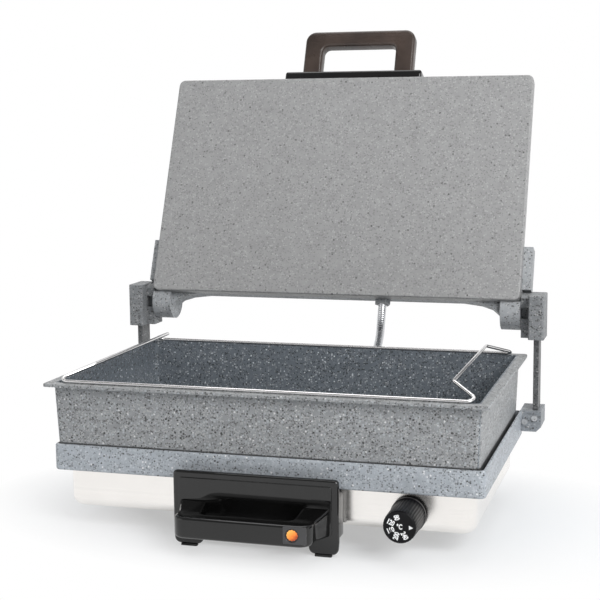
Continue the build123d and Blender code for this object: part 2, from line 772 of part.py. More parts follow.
# Posts, hinge blocks and pins, one set at each side
for side, name in ((-1, "left"), (1, "right")):
    with BuildPart() as hinge_post:
        with BuildSketch(deck.offset(post_z)):
            with Locations((side * post_x, post_y)):
                Rectangle(post_t, post_w)
        extrude(amount=post_top_z - post_z)
        chamfer(hinge_post.faces().sort_by(Axis.Z)[-1].edges(), 0.8)
        with BuildSketch(face_plane(post_y - post_w / 2)):
            with Locations((side * post_x, ear_z + 15)):
                Circle(small_screw_d / 2 + screw_gap)
        extrude(amount=-8, mode=Mode.SUBTRACT)
    save(hinge_post.part, f"hinge_post_{name}")

    with BuildPart() as hinge_block:
        with BuildSketch(deck.offset(block_z)):
            with Locations((side * block_x, block_y)):
                RectangleRounded(block_w, block_d, block_edge_r)
        extrude(amount=block_h)
        fillet(hinge_block.faces().sort_by(Axis.Z)[-1].edges(), 1)
        # cheek: round about the hinge axis where the lid's arm passes
        with BuildSketch(side_plane(side * cheek_x)):
            with Locations((hinge_y - 2, hinge_z - cheek_r / 2 - 3)):
                Rectangle(cheek_d, cheek_r + 6)
            with Locations((hinge_y, hinge_z)):
                Circle(cheek_r)
            with Locations((hinge_y - 2 - cheek_d / 2 - cheek_r, hinge_z)):
                Rectangle(2 * cheek_r, 4 * cheek_r, mode=Mode.SUBTRACT)
            with Locations((hinge_y - 2 + cheek_d / 2 + cheek_r, hinge_z)):
                Rectangle(2 * cheek_r, 4 * cheek_r, mode=Mode.SUBTRACT)
            # heel that stops the lid when it is open
            with BuildLine():
                heel = []
                for y, z in ((-cheek_r - 0.1, -1), (-cheek_r - 0.1, 6), (-cheek_r / 2, 6), (-4, -1)):
                    rise = -y * math.sin(lid_open) + z * math.cos(lid_open)
                    back = y * math.cos(lid_open) + z * math.sin(lid_open)
                    heel.append((hinge_y + back, hinge_z + rise))
                Polyline(*heel, close=True)
            make_face()
        extrude(amount=cheek_t / 2, both=True)
        # notch in front of the pin
        with BuildSketch(side_plane(side * cheek_x)):
            with Locations((hinge_y - 2 - cheek_d / 2 + notch_d / 2, hinge_z)):
                Rectangle(notch_d, notch_h)
        extrude(amount=cheek_t / 2, both=True, mode=Mode.SUBTRACT)
        # slot for the post, closed at the top so that the block rests on the post
        with BuildSketch(deck.offset(block_z)):
            with Locations((side * post_x, post_y)):
                Rectangle(post_t + 2 * slide_gap, post_w + 2 * slide_gap)
        extrude(amount=post_top_z + fit_gap - block_z, mode=Mode.SUBTRACT)
        # seat of the pin
        with BuildSketch(side_plane(side * (block_in_x - cheek_t))):
            with Locations((hinge_y, hinge_z)):
                Circle(pin_d / 2 + press_gap)
        extrude(amount=side * (cheek_t + pin_seat), mode=Mode.SUBTRACT)
    save(hinge_block.part, f"hinge_block_{name}")

    with BuildPart() as hinge_pin:
        with BuildSketch(side_plane(side * (lug_in_x + 5))):
            with Locations((hinge_y, hinge_z)):
                Circle(pin_d / 2)
        extrude(amount=side * (block_in_x + pin_seat - 0.1 - lug_in_x - 5))
        chamfer(hinge_pin.faces().filter_by(Axis.X).edges(), 0.6)
    save(hinge_pin.part, f"hinge_pin_{name}")

with BuildPart() as post_screws:
    for side in (-1, 1):
        for x, z in ((side * post_x, ear_z + 15), (side * (post_in_x - 7.6), ear_z + 11)):
            with BuildSketch(face_plane(ear_front_y)):
                with Locations((x, z)):
                    Circle(small_head_d / 2)
            extrude(amount=head_h)
            with BuildSketch(face_plane(ear_front_y - head_h)):
                with Locations((x, z)):
                    RegularPolygon(1.3, 6)
            extrude(amount=-head_h * 0.6, mode=Mode.SUBTRACT)
            with BuildSketch(face_plane(ear_front_y)):
                with Locations((x, z)):
                    Circle(small_screw_d / 2)
            extrude(amount=-(ear_front + 5))
save(post_screws.part, "post_screws")

# Lid plate: the upper heating plate, its cooking face towards the front
with BuildPart() as lid_plate:
    with BuildSketch(lid.offset(-plate_drop)):
        with Locations((0, plate_mid)):
            RectangleRounded(plate_w, plate_d, plate_corner_r)
    extrude(amount=plate_t)
    fillet(lid_plate.faces().sort_by(lid_up)[0].edges(), plate_edge_r)
    add(upper_groove, mode=Mode.SUBTRACT)
    with BuildSketch(lid.offset(cover_z)):
        with Locations(*lid_screw_places):
            Circle(screw_d / 2 + screw_gap)
        with Locations((0, plate_mid)):
            with Locations(*retainer_places):
                Circle(small_screw_d / 2 + screw_gap)
    extrude(amount=-6, mode=Mode.SUBTRACT)
save(lid_plate.part, "lid_plate")

# Lid rear casting: a shell over the plate's back, with the hinge lugs and stop arms
arm_in = cheek_r + 0.4
arm_out_x = block_in_x - fit_gap
with BuildPart() as lid_rear_casting:
    with BuildSketch(lid.offset(cover_z)):
        with Locations((0, cover_mid)):
            RectangleRounded(cover_w, cover_d, cover_corner_r)
    extrude(amount=cover_h)
    fillet(lid_rear_casting.faces().sort_by(lid_up)[-1].edges(), cover_edge_r)
    offset(amount=-cover_wall, openings=lid_rear_casting.faces().sort_by(lid_up)[0])
    with BuildSketch(lid.offset(cover_z)):
        with Locations(*lid_screw_places):
            Circle(boss_d / 2)
    extrude(amount=cover_h - cover_wall + 0.5)
    for side in (-1, 1):
        # lug with its eye, cut clear of the plate
        with BuildSketch(lid_side_plane(side * lug_x)):
            Circle(eye_r)
            with BuildLine():
                Polyline(
                    (0, eye_r),
                    (-cover_near - 26, cover_z + cover_h - 1),
                    (-cover_near - 26, cover_z + 0.3),
                    (0, cover_z + 0.3),
                    close=True,
                )
            make_face()
            with Locations((-plate_setback + fit_gap - eye_r / 2, cover_z + 0.3 - eye_r / 2)):
                Rectangle(eye_r, eye_r, mode=Mode.SUBTRACT)
        extrude(amount=lug_w / 2, both=True)
        # web that runs from the lug into the shell's edge
        with BuildSketch(lid.offset(cover_z + 0.3)):
            with BuildLine():
                Polyline(
                    (side * (lug_in_x + 2), 12),
                    (side * (lug_in_x - 3), 5),
                    (side * (lug_in_x - 10), -1),
                    (side * (lug_in_x - 22), -5),
                    (side * (lug_in_x - gusset_w), -cover_near),
                    (side * (lug_in_x - gusset_w), -cover_near - 2),
                    (side * (lug_in_x + 2), -cover_near - 2),
                    close=True,
                )
            make_face()
        extrude(amount=arm_h - 2)
        # stop arm beside the lug, over the hinge block's cheek
        with BuildSketch(lid.offset(cover_z + 0.1)):
            with Locations((side * (lug_out_x + arm_out_x) / 2, -arm_in - arm_len / 2)):
                Rectangle(arm_out_x - lug_out_x, arm_len)
            with Locations((side * (cover_w / 2 - 3 + arm_out_x) / 2, -arm_in - arm_len / 2 - 5)):
                Rectangle(arm_out_x - cover_w / 2 + 3, arm_len - 10)
        extrude(amount=arm_h)
        # blind bore for the pin
        with BuildSketch(lid_side_plane(side * lug_out_x)):
            Circle(pin_d / 2 + pin_gap)
        extrude(amount=-side * (lug_w - 4), mode=Mode.SUBTRACT)
    # holes for the conduit's gland, the lid's screws and the handle's screws
    with BuildSketch(lid_end_plane(cover_near)):
        with Locations((conduit_x, gland_side)):
            Circle(gland_neck_d / 2 + 0.1)
    extrude(amount=cover_wall + 1, mode=Mode.SUBTRACT)
    with BuildSketch(lid.offset(cover_z + cover_h)):
        with Locations(*lid_screw_places):
            Circle(head_d / 2 + 0.2)
    extrude(amount=-head_h - 0.4, mode=Mode.SUBTRACT)
    with BuildSketch(lid.offset(cover_z)):
        with Locations(*lid_screw_places):
            Circle(screw_d / 2 + 0.1)
    extrude(amount=cover_h, mode=Mode.SUBTRACT)
    with BuildSketch(lid_end_plane(cover_end)):
        with Locations(*lid_plate_screw_places):
            Circle(screw_d / 2 + 0.1)
    extrude(amount=-cover_wall - 1, mode=Mode.SUBTRACT)
save(lid_rear_casting.part, "lid_rear_casting")

# Upper heating element, its retainer strips, their screws and the insulation mat
with BuildPart() as upper_heating_element:
    add(upper_rod)
save(upper_heating_element.part, "upper_heating_element")

with BuildPart() as upper_element_retainers:
    with BuildSketch(lid.offset(cover_z)):
        with Locations((0, plate_mid)):
            for row in retainer_rows:
                with Locations((0, row)):
                    Rectangle(element_w + 20, retainer_w)
            with Locations(*retainer_places):
                Circle(small_screw_d / 2 + 0.1, mode=Mode.SUBTRACT)
    extrude(amount=retainer_t)
save(upper_element_retainers.part, "upper_element_retainers")

with BuildPart() as upper_retainer_screws:
    with BuildSketch(lid.offset(cover_z + retainer_t)):
        with Locations((0, plate_mid)):
            with Locations(*retainer_places):
                Circle(small_head_d / 2)
    extrude(amount=head_h)
    with BuildSketch(lid.offset(cover_z + retainer_t)):
        with Locations((0, plate_mid)):
            with Locations(*retainer_places):
                Circle(small_screw_d / 2)
    extrude(amount=-retainer_t - 5)
save(upper_retainer_screws.part, "upper_retainer_screws")

with BuildPart() as upper_insulation_mat:
    with BuildSketch(lid.offset(cover_z + retainer_t + head_h)):
        with Locations((0, plate_mid)):
            RectangleRounded(element_w - 10, element_run + 4, 5)
    extrude(amount=mat_t)
save(upper_insulation_mat.part, "upper_insulation_mat")

with BuildPart() as lid_assembly_screws:
    with BuildSketch(lid.offset(cover_z + cover_h - head_h - 0.4)):
        with Locations(*lid_screw_places):
            Circle(head_d / 2)
    extrude(amount=head_h)
    with BuildSketch(lid.offset(cover_z + cover_h - 0.4)):
        with Locations(*lid_screw_places):
            RegularPolygon(1.6, 6)
    extrude(amount=-head_h * 0.6, mode=Mode.SUBTRACT)
    with BuildSketch(lid.offset(cover_z + cover_h - head_h - 0.4)):
        with Locations(*lid_screw_places):
            Circle(screw_d / 2)
    extrude(amount=-(cover_h - head_h - 0.4) - 5)
save(lid_assembly_screws.part, "lid_assembly_screws")

# Lid handle: base plate with a spacer on the shell's end, grip, screws
with BuildPart() as lid_handle_plate:
    with BuildSketch(lid_end_plane(lid_base_y)):
        with Locations((0, lid_base_z)):
            Rectangle(handle_w, lid_base_d)
        chamfer(vertices(), 3)
    extrude(amount=lid_base_t)
    chamfer(lid_handle_plate.faces().sort_by(lid_out)[-1].edges(), lid_base_bevel)
    with BuildSketch(lid_end_plane(lid_base_y)):
        with Locations((0, lid_spacer_z)):
            RectangleRounded(grip_w + 10, lid_spacer_h, 3)
    extrude(amount=-(lid_base_y - cover_end))
    with BuildSketch(lid_end_plane(cover_end)):
        with Locations(*lid_plate_screw_places):
            Circle(screw_d / 2 + screw_gap)
    extrude(amount=lid_base_y - cover_end + lid_base_t - 4, mode=Mode.SUBTRACT)
    with BuildSketch(lid_end_plane(lid_base_y)):
        with Locations(*lid_grip_screw_places):
            Circle(screw_d / 2 + screw_gap)
    extrude(amount=lid_base_t, mode=Mode.SUBTRACT)
save(lid_handle_plate.part, "lid_handle_plate")

with BuildPart() as lid_handle_screws:
    with BuildSketch(lid_end_plane(cover_end - cover_wall)):
        with Locations(*lid_plate_screw_places):
            Circle(head_d / 2)
    extrude(amount=-head_h)
    with BuildSketch(lid_end_plane(cover_end - cover_wall)):
        with Locations(*lid_plate_screw_places):
            Circle(screw_d / 2)
    extrude(amount=cover_wall + lid_base_y - cover_end + lid_base_t - 4.2)
save(lid_handle_screws.part, "lid_handle_screws")

grip_root = lid_base_y + lid_base_t
with BuildPart() as lid_handle_grip:
    with BuildSketch(lid.offset(lid_grip_z - lid_grip_d / 2)):
        with Locations((0, -grip_root - lid_reach / 2)):
            Rectangle(grip_w, lid_reach)
        fillet(vertices().sort_by(Axis.Y)[:2], grip_corner_r)
        with Locations((0, -grip_root - (lid_reach - lid_grip_bar) / 2)):
            Rectangle(grip_w - 2 * grip_arm, lid_reach - lid_grip_bar, mode=Mode.SUBTRACT)
    extrude(amount=lid_grip_d)
    grip_sides = lid_handle_grip.faces().filter_by(lid_up)
    fillet(grip_sides.edges().filter_by(lambda e: off_root(e) > 1), grip_edge_r)
    with BuildSketch(lid_end_plane(grip_root)):
        with Locations(*lid_grip_screw_places):
            Circle(screw_d / 2 + screw_gap)
    extrude(amount=12.2, mode=Mode.SUBTRACT)
save(lid_handle_grip.part, "lid_handle_grip")

with BuildPart() as lid_grip_screws:
    with BuildSketch(lid_end_plane(lid_base_y)):
        with Locations(*lid_grip_screw_places):
            Circle(head_d / 2)
    extrude(amount=-head_h)
    with BuildSketch(lid_end_plane(lid_base_y - head_h)):
        with Locations(*lid_grip_screw_places):
            RegularPolygon(1.6, 6)
    extrude(amount=head_h * 0.6, mode=Mode.SUBTRACT)
    with BuildSketch(lid_end_plane(lid_base_y)):
        with Locations(*lid_grip_screw_places):
            Circle(screw_d / 2)
    extrude(amount=lid_base_t + 12)
save(lid_grip_screws.part, "lid_grip_screws")

# Deep pan: a drafted shell with an outward flange
inside_top = pan_wall - pan_draft
inside_low = pan_wall - pan_draft * pan_wall / pan_h
with BuildPart() as deep_pan:
    with BuildSketch(pan_seat.offset(recess_z)):
        RectangleRounded(pan_w, pan_d, pan_corner_r)
    with BuildSketch(pan_seat.offset(pan_rim_z)):
        RectangleRounded(pan_w + 2 * pan_draft, pan_d + 2 * pan_draft, pan_corner_r)
    loft()
    fillet(deep_pan.faces().sort_by(Axis.Z)[0].edges(), pan_bottom_r)
    with BuildSketch(pan_seat.offset(pan_rim_z - flange_t)):
        RectangleRounded(flange_out_w, flange_out_d, flange_corner_r)
    extrude(amount=flange_t)
    fillet(deep_pan.faces().sort_by(Axis.Z)[-1].edges(), 0.8)
    with BuildSketch(pan_seat.offset(recess_z + pan_wall)):
        RectangleRounded(pan_w - 2 * inside_low, pan_d - 2 * inside_low, pan_inner_r)
    with BuildSketch(pan_seat.offset(pan_rim_z)):
        RectangleRounded(pan_w - 2 * inside_top, pan_d - 2 * inside_top, pan_inner_r)
    loft(mode=Mode.SUBTRACT)
    pan_floor = deep_pan.faces().filter_by(Axis.Z).sort_by(Axis.Z)[1]
    fillet(pan_floor.edges(), pan_bottom_r - 1)
save(deep_pan.part, "deep_pan")

# Wire lifting frame: one bent wire that lies on the flange, its ends raised as bails
wire_x = flange_out_w / 2 - wire_inset_x
wire_y = flange_out_d / 2 - wire_inset_y
bail_x = wire_x - bail_lean
bail_y = wire_y - bail_setback
with BuildPart() as pan_wire_frame:
    with BuildLine() as wire_line:
        corners = []
        for x, y, raised in (
            (wire_x, -wire_y, 0), (bail_x, -bail_y, 1), (bail_x, bail_y, 1), (wire_x, wire_y, 0),
            (-wire_x, wire_y, 0), (-bail_x, bail_y, 1), (-bail_x, -bail_y, 1), (-wire_x, -wire_y, 0),
        ):
            corners.append(pan_seat.origin + Vector(x, y, wire_z + raised * bail_rise))
        FilletPolyline(*corners, radius=wire_bend_r, close=True)
    with BuildSketch(Plane(origin=(0, pan_seat.origin.Y - wire_y, wire_z), z_dir=(1, 0, 0))):
        Circle(wire_d / 2)
    sweep(path=wire_line.wires()[0])
save(pan_wire_frame.part, "pan_wire_frame")

# Glands with their nuts: two on the housing's rear wall, one on the lid
with BuildPart() as conduit_gland_base:
    with BuildSketch(face_plane(rear_y)):
        with Locations((conduit_low_x, gland_z)):
            RegularPolygon(gland_d / 2, 6)
    extrude(amount=-gland_len)
    with BuildSketch(face_plane(rear_y)):
        with Locations((conduit_low_x, gland_z)):
            Circle(gland_neck_d / 2)
    extrude(amount=housing_wall + gland_nut_t + 1)
    with BuildSketch(face_plane(rear_y - housing_wall - gland_nut_t - 1)):
        with Locations((conduit_low_x, gland_z)):
            Circle(conduit_d / 2 + 0.05)
    extrude(amount=-gland_len - 10, mode=Mode.SUBTRACT)
save(conduit_gland_base.part, "conduit_gland_base")

with BuildPart() as cord_inlet_gland:
    with BuildSketch(face_plane(rear_y)):
        with Locations((inlet_x, gland_z)):
            RegularPolygon(gland_d / 2, 6)
    extrude(amount=-gland_len)
    with BuildSketch(face_plane(rear_y)):
        with Locations((inlet_x, gland_z)):
            Circle(gland_neck_d / 2)
    extrude(amount=housing_wall + gland_nut_t + 1)
    with BuildSketch(face_plane(rear_y - housing_wall - gland_nut_t - 1)):
        with Locations((inlet_x, gland_z)):
            Circle(inlet_bore / 2)
    extrude(amount=-gland_len - 10, mode=Mode.SUBTRACT)
save(cord_inlet_gland.part, "cord_inlet_gland")

with BuildPart() as base_gland_nuts:
    with BuildSketch(face_plane(rear_y - housing_wall)):
        with Locations((conduit_low_x, gland_z), (inlet_x, gland_z)):
            RegularPolygon(gland_d / 2, 6)
            Circle(gland_neck_d / 2 + screw_gap, mode=Mode.SUBTRACT)
    extrude(amount=gland_nut_t)
save(base_gland_nuts.part, "base_gland_nuts")

with BuildPart() as conduit_gland_lid:
    with BuildSketch(lid_end_plane(cover_near)):
        with Locations((conduit_x, gland_side)):
            RegularPolygon(gland_d / 2, 6)
    extrude(amount=-lid_gland_len)
    with BuildSketch(lid_end_plane(cover_near)):
        with Locations((conduit_x, gland_side)):
            Circle(gland_neck_d / 2)
    extrude(amount=cover_wall + gland_nut_t + 1)
    with BuildSketch(lid_end_plane(cover_near + cover_wall + gland_nut_t + 1)):
        with Locations((conduit_x, gland_side)):
            Circle(conduit_d / 2 + 0.05)
    extrude(amount=-lid_gland_len - 10, mode=Mode.SUBTRACT)
save(conduit_gland_lid.part, "conduit_gland_lid")

with BuildPart() as lid_gland_nut:
    with BuildSketch(lid_end_plane(cover_near + cover_wall)):
        with Locations((conduit_x, gland_side)):
            RegularPolygon(gland_d / 2, 6)
            Circle(gland_neck_d / 2 + screw_gap, mode=Mode.SUBTRACT)
    extrude(amount=gland_nut_t)
save(lid_gland_nut.part, "lid_gland_nut")

# Armoured conduit: held by the lid's gland and the base's gland all the way
conduit_points = [
    in_lid(conduit_x, -cover_near - cover_wall, gland_side),
    in_lid(conduit_x, 16, gland_side),
    Vector(conduit_x - 3.5, casting_y + rear_y + 24, hinge_z - 38),
    Vector(conduit_x - 14, casting_y + rear_y + 35, hinge_z - 72),
    Vector(conduit_low_x + 2, casting_y + rear_y + 35, gland_z + 36),
    Vector(conduit_low_x, casting_y + rear_y + 28, gland_z),
    Vector(conduit_low_x, casting_y + rear_y - housing_wall - 2, gland_z),
]
conduit_radii = []
for before, corner, after in zip(conduit_points, conduit_points[1:], conduit_points[2:]):
    way_in = corner - before
    way_out = after - corner
    turn = math.radians(way_in.get_angle(way_out))
    conduit_radii.append(0.45 * min(way_in.length, way_out.length) / math.tan(turn / 2))
    print("conduit turn", round(math.degrees(turn), 1), "radius", round(conduit_radii[-1], 1))
with BuildPart() as conduit:
    with BuildLine() as conduit_line:
        FilletPolyline(*conduit_points, radius=conduit_radii)
    conduit_path = conduit_line.wires()[0]
    with BuildSketch(Plane(origin=conduit_path @ 0, z_dir=conduit_path % 0)):
        Circle(conduit_d / 2)
        Circle(conduit_bore / 2, mode=Mode.SUBTRACT)
    sweep(path=conduit_path)
conduit_section = math.pi * (conduit_d ** 2 - conduit_bore ** 2) / 4
print("conduit length", round(conduit_path.length, 1))
print("conduit volume over section times length",
      round(conduit.part.volume / (conduit_section * conduit_path.length), 4))
save(conduit.part, "conduit")
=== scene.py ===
import math

import bmesh
import bpy
from mathutils import Matrix, Vector


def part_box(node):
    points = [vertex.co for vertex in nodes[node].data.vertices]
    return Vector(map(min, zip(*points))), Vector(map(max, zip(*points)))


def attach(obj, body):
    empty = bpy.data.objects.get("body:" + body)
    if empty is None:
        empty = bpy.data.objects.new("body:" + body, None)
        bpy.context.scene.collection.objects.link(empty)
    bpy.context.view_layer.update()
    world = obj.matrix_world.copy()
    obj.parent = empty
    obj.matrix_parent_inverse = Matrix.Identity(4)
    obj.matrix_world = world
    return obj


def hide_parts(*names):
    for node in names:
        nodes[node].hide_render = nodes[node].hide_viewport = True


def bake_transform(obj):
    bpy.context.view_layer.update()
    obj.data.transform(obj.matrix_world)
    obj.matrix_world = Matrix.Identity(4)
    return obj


# Electric flatbread maker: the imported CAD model, dressed with detailed pieces and materials.
# Metres, +Z up, front towards -Y.

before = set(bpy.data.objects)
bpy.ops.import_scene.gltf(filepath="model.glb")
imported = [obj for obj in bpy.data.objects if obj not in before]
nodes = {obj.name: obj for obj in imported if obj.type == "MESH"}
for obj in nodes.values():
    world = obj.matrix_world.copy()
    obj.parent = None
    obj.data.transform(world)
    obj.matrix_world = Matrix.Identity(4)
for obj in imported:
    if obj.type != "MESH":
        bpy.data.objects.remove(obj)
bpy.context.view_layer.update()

MM = 0.001
IN_MM = Matrix.Scale(MM, 4)

# Places in the CAD model: the casting's middle, side, rear wall and top, the lid's hinge axis
# and opening, and the pan's flange, wall and draft on each side
CASTING_Y = -0.0455
CASTING_SIDE = 213.0 * MM
CASTING_REAR = CASTING_Y + 131.0 * MM
CASTING_TOP = 86.0 * MM
HINGE = Vector((0, CASTING_Y + 0.141, 0.192))
LID_OPEN = math.radians(113)
FLANGE_WIDTH = 7.5 * MM
PAN_WALL = 3.0 * MM
PAN_DRAFT = 3.0 * MM

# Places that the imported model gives
plate_low, plate_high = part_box("front_handle_plate")
grip_low, grip_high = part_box("front_handle_grip")
bezel_low, bezel_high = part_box("lamp_bezel")
lens_low, lens_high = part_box("lamp_lens")
knob_low, knob_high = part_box("control_knob")
pan_low, pan_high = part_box("deep_pan")
housing_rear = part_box("base_housing")[1].y


# Materials

# The coatings: how far their cells are moved and by how fine a noise, the painted shade on the casting's
# ears, and the strength and grey of the painted shade line round the pan's foot
WOBBLE = 1.2 * MM
WOBBLE_SCALE = 700.0
EAR_SHADE = 0.62
FOOT_SHADE_STRENGTH = 0.8
FOOT_SHADE_GREY = 30


def new_material(name):
    """An empty node material with its Principled shader and object coordinates."""
    material = bpy.data.materials.new(name)
    material.use_nodes = True
    tree = material.node_tree
    shader = tree.nodes["Principled BSDF"]
    coords = tree.nodes.new("ShaderNodeTexCoord")
    return material, tree, shader, coords.outputs["Object"]


def noise(tree, coords, scale, detail=3.0, rough=0.5):
    """A noise value over the object's coordinates."""
    node = tree.nodes.new("ShaderNodeTexNoise")
    node.inputs["Scale"].default_value = scale
    node.inputs["Detail"].default_value = detail
    node.inputs["Roughness"].default_value = rough
    tree.links.new(coords, node.inputs["Vector"])
    return node.outputs["Fac"]


def stretched(tree, coords, scale):
    """Object coordinates scaled by a different amount along each axis."""
    node = tree.nodes.new("ShaderNodeMapping")
    node.inputs["Scale"].default_value = scale
    tree.links.new(coords, node.inputs["Vector"])
    return node.outputs["Vector"]


def cells(tree, coords, scale):
    """Distance to the nearest cell point and that cell's random colour."""
    node = tree.nodes.new("ShaderNodeTexVoronoi")
    node.inputs["Scale"].default_value = scale
    tree.links.new(coords, node.inputs["Vector"])
    return node.outputs["Distance"], node.outputs["Color"]


def ramp(tree, value, stops):
    """A colour ramp through (position, colour) stops."""
    node = tree.nodes.new("ShaderNodeValToRGB")
    points = node.color_ramp.elements
    while len(points) < len(stops):
        points.new(0.5)
    for point, (position, colour) in zip(points, stops):
        point.position = position
        point.color = (*colour, 1.0)
    tree.links.new(value, node.inputs["Fac"])
    return node.outputs["Color"]


def levels(tree, value, low, high, out_low=0.0, out_high=1.0):
    """A value mapped from one range onto another, clamped."""
    node = tree.nodes.new("ShaderNodeMapRange")
    node.inputs["From Min"].default_value = low
    node.inputs["From Max"].default_value = high
    node.inputs["To Min"].default_value = out_low
    node.inputs["To Max"].default_value = out_high
    tree.links.new(value, node.inputs["Value"])
    return node.outputs["Result"]


def maths(tree, operation, first, second=None):
    """One arithmetic step on sockets or numbers."""
    node = tree.nodes.new("ShaderNodeMath")
    node.operation = operation
    for socket, value in zip(node.inputs, (first, second)):
        if value is None:
            continue
        if isinstance(value, (int, float)):
            socket.default_value = value
        else:
            tree.links.new(value, socket)
    return node.outputs[0]


def mixed(tree, factor, first, second, kind="MIX"):
    """Two colours mixed by a factor; each may be a socket or a colour."""
    node = tree.nodes.new("ShaderNodeMix")
    node.data_type = "RGBA"
    node.blend_type = kind
    for socket, value in ((node.inputs[0], factor), (node.inputs[6], first), (node.inputs[7], second)):
        if isinstance(value, (int, float)):
            socket.default_value = value
        elif isinstance(value, tuple):
            socket.default_value = (*value, 1.0)
        else:
            tree.links.new(value, socket)
    return node.outputs[2]


def axes_of(tree, coords):
    """The three single coordinates."""
    node = tree.nodes.new("ShaderNodeSeparateXYZ")
    tree.links.new(coords, node.inputs["Vector"])
    return node.outputs["X"], node.outputs["Y"], node.outputs["Z"]


def bump(tree, shader, height, strength, distance):
    """A bump from a height value into the shader's normal."""
    node = tree.nodes.new("ShaderNodeBump")
    node.inputs["Strength"].default_value = strength
    node.inputs["Distance"].default_value = distance
    tree.links.new(height, node.inputs["Height"])
    tree.links.new(node.outputs["Normal"], shader.inputs["Normal"])


def grey(level, tint=(1.0, 1.0, 1.0)):
    """A linear grey from a screen level of 0 to 255, with a tint."""
    value = level / 255.0
    linear = value / 12.92 if value <= 0.04045 else ((value + 0.055) / 1.055) ** 2.4
    return tuple(linear * t for t in tint)


def fleck_layer(tree, coords, colour, scale, share, size, fleck):
    """Flecks in a share of the cells of one scale, laid over a colour."""
    distance, random = cells(tree, coords, scale)
    split = tree.nodes.new("ShaderNodeSeparateColor")
    tree.links.new(random, split.inputs["Color"])
    chosen = levels(tree, split.outputs["Red"], share, share - 0.02)
    inside = levels(tree, distance, size, size * 0.6)
    return mixed(tree, maths(tree, "MULTIPLY", chosen, inside), colour, fleck)


def wobbled(tree, coords, amount):
    """Coordinates moved a little by a fine noise, so that cells lose their straight edges."""
    node = tree.nodes.new("ShaderNodeTexNoise")
    node.inputs["Scale"].default_value = WOBBLE_SCALE
    node.inputs["Detail"].default_value = 1.0
    tree.links.new(coords, node.inputs["Vector"])
    moved = tree.nodes.new("ShaderNodeVectorMath")
    moved.operation = "MULTIPLY_ADD"
    moved.inputs[1].default_value = (amount, amount, amount)
    tree.links.new(node.outputs["Color"], moved.inputs[0])
    tree.links.new(coords, moved.inputs[2])
    return moved.outputs["Vector"]


def granite_colour(tree, coords, base, flecks, mottle):
    """A mottled grey with flecks of several sizes."""
    darker = tuple(c * (1 - mottle) for c in base)
    lighter = tuple(c * (1 + mottle) for c in base)
    colour = ramp(tree, noise(tree, coords, 90.0, 4.0, 0.6), [(0.3, darker), (0.7, lighter)])
    uneven = wobbled(tree, coords, WOBBLE)
    for scale, share, size, fleck in flecks:
        colour = fleck_layer(tree, uneven, colour, scale, share, size, fleck)
    return colour


def granite_material(name, base, flecks, rough, mottle=0.12, inner=None, shade_tone=None):
    """Speckled coating on a base colour.

    Each fleck is (cells per metre, share of the cells, size in its cell, colour).
    Inner tones, (base, flecks), are the pan's: they show inside it, with a painted shade line at its foot
    where it meets the casting.
    A painted shade is given as (mask, factor): where the mask is 1 the colour is multiplied by the factor.
    """
    material, tree, shader, coords = new_material(name)
    colour = granite_colour(tree, coords, base, flecks, mottle)
    if inner:
        inner_colour = granite_colour(tree, coords, *inner, mottle)
        colour = mixed(tree, inside_pan(tree, coords), colour, inner_colour)
        # Painted shade: the pan is darkened from just above the casting's top downward, as a dark line where
        # it meets the casting.
        foot = levels(tree, axes_of(tree, coords)[2], CASTING_TOP + 2.0 * MM, CASTING_TOP + 0.8 * MM)
        colour = mixed(tree, maths(tree, "MULTIPLY", foot, FOOT_SHADE_STRENGTH), colour, grey(FOOT_SHADE_GREY))
    # Painted shade: where the mask is 1, the colour is darkened by the factor.
    if shade_tone:
        mask, factor = shade_tone
        shaded_colour = mixed(tree, 1.0, colour, (factor, factor, factor), "MULTIPLY")
        colour = mixed(tree, mask(tree, coords), colour, shaded_colour)
    tree.links.new(colour, shader.inputs["Base Color"])
    roughness = levels(tree, noise(tree, coords, 160.0, 3.0), 0.3, 0.7, rough - 0.07, rough + 0.09)
    tree.links.new(roughness, shader.inputs["Roughness"])
    shader.inputs["Specular IOR Level"].default_value = 0.42
    bump(tree, shader, noise(tree, coords, 620.0, 4.0, 0.6), 0.3, 0.0004)
    return material


def metal_material(name, colour, rough, streak, streak_scale, wear=0.08, relief=0.1):
    """Bare metal with fine streaks, scaled along each axis, and a little wear."""
    material, tree, shader, coords = new_material(name)
    shader.inputs["Metallic"].default_value = 1.0
    lines = noise(tree, stretched(tree, coords, streak_scale), 1.0, 3.0, 0.6)
    blotch = noise(tree, coords, 38.0, 3.0)
    tint = ramp(tree, lines, [(0.3, tuple(c * (1 - streak) for c in colour)), (0.7, colour)])
    worn = ramp(tree, blotch, [(0.35, tuple([1 - wear] * 3)), (0.7, (1.0, 1.0, 1.0))])
    tree.links.new(mixed(tree, 1.0, tint, worn, "MULTIPLY"), shader.inputs["Base Color"])
    tree.links.new(levels(tree, lines, 0.25, 0.75, rough * 0.8, rough * 1.25), shader.inputs["Roughness"])
    bump(tree, shader, lines, relief, 0.0003)
    return material


def plastic_material(name, colour, rough, grain_scale, grain, coat=0.0, gloss=0.5, uneven=1.5):
    """Moulded plastic: a faint grain, uneven gloss, and a colour paler by a factor in places."""
    material, tree, shader, coords = new_material(name)
    blotch = noise(tree, coords, 24.0, 4.0)
    lighter = tuple(c * uneven + 0.001 for c in colour)
    tree.links.new(ramp(tree, blotch, [(0.35, colour), (0.75, lighter)]), shader.inputs["Base Color"])
    tree.links.new(levels(tree, noise(tree, coords, 60.0, 3.0), 0.3, 0.7, rough * 0.8, rough * 1.25),
                   shader.inputs["Roughness"])
    shader.inputs["Specular IOR Level"].default_value = gloss
    shader.inputs["Coat Weight"].default_value = coat
    shader.inputs["Coat Roughness"].default_value = 0.05
    bump(tree, shader, noise(tree, coords, grain_scale, 3.0), grain, 0.0004)
    return material


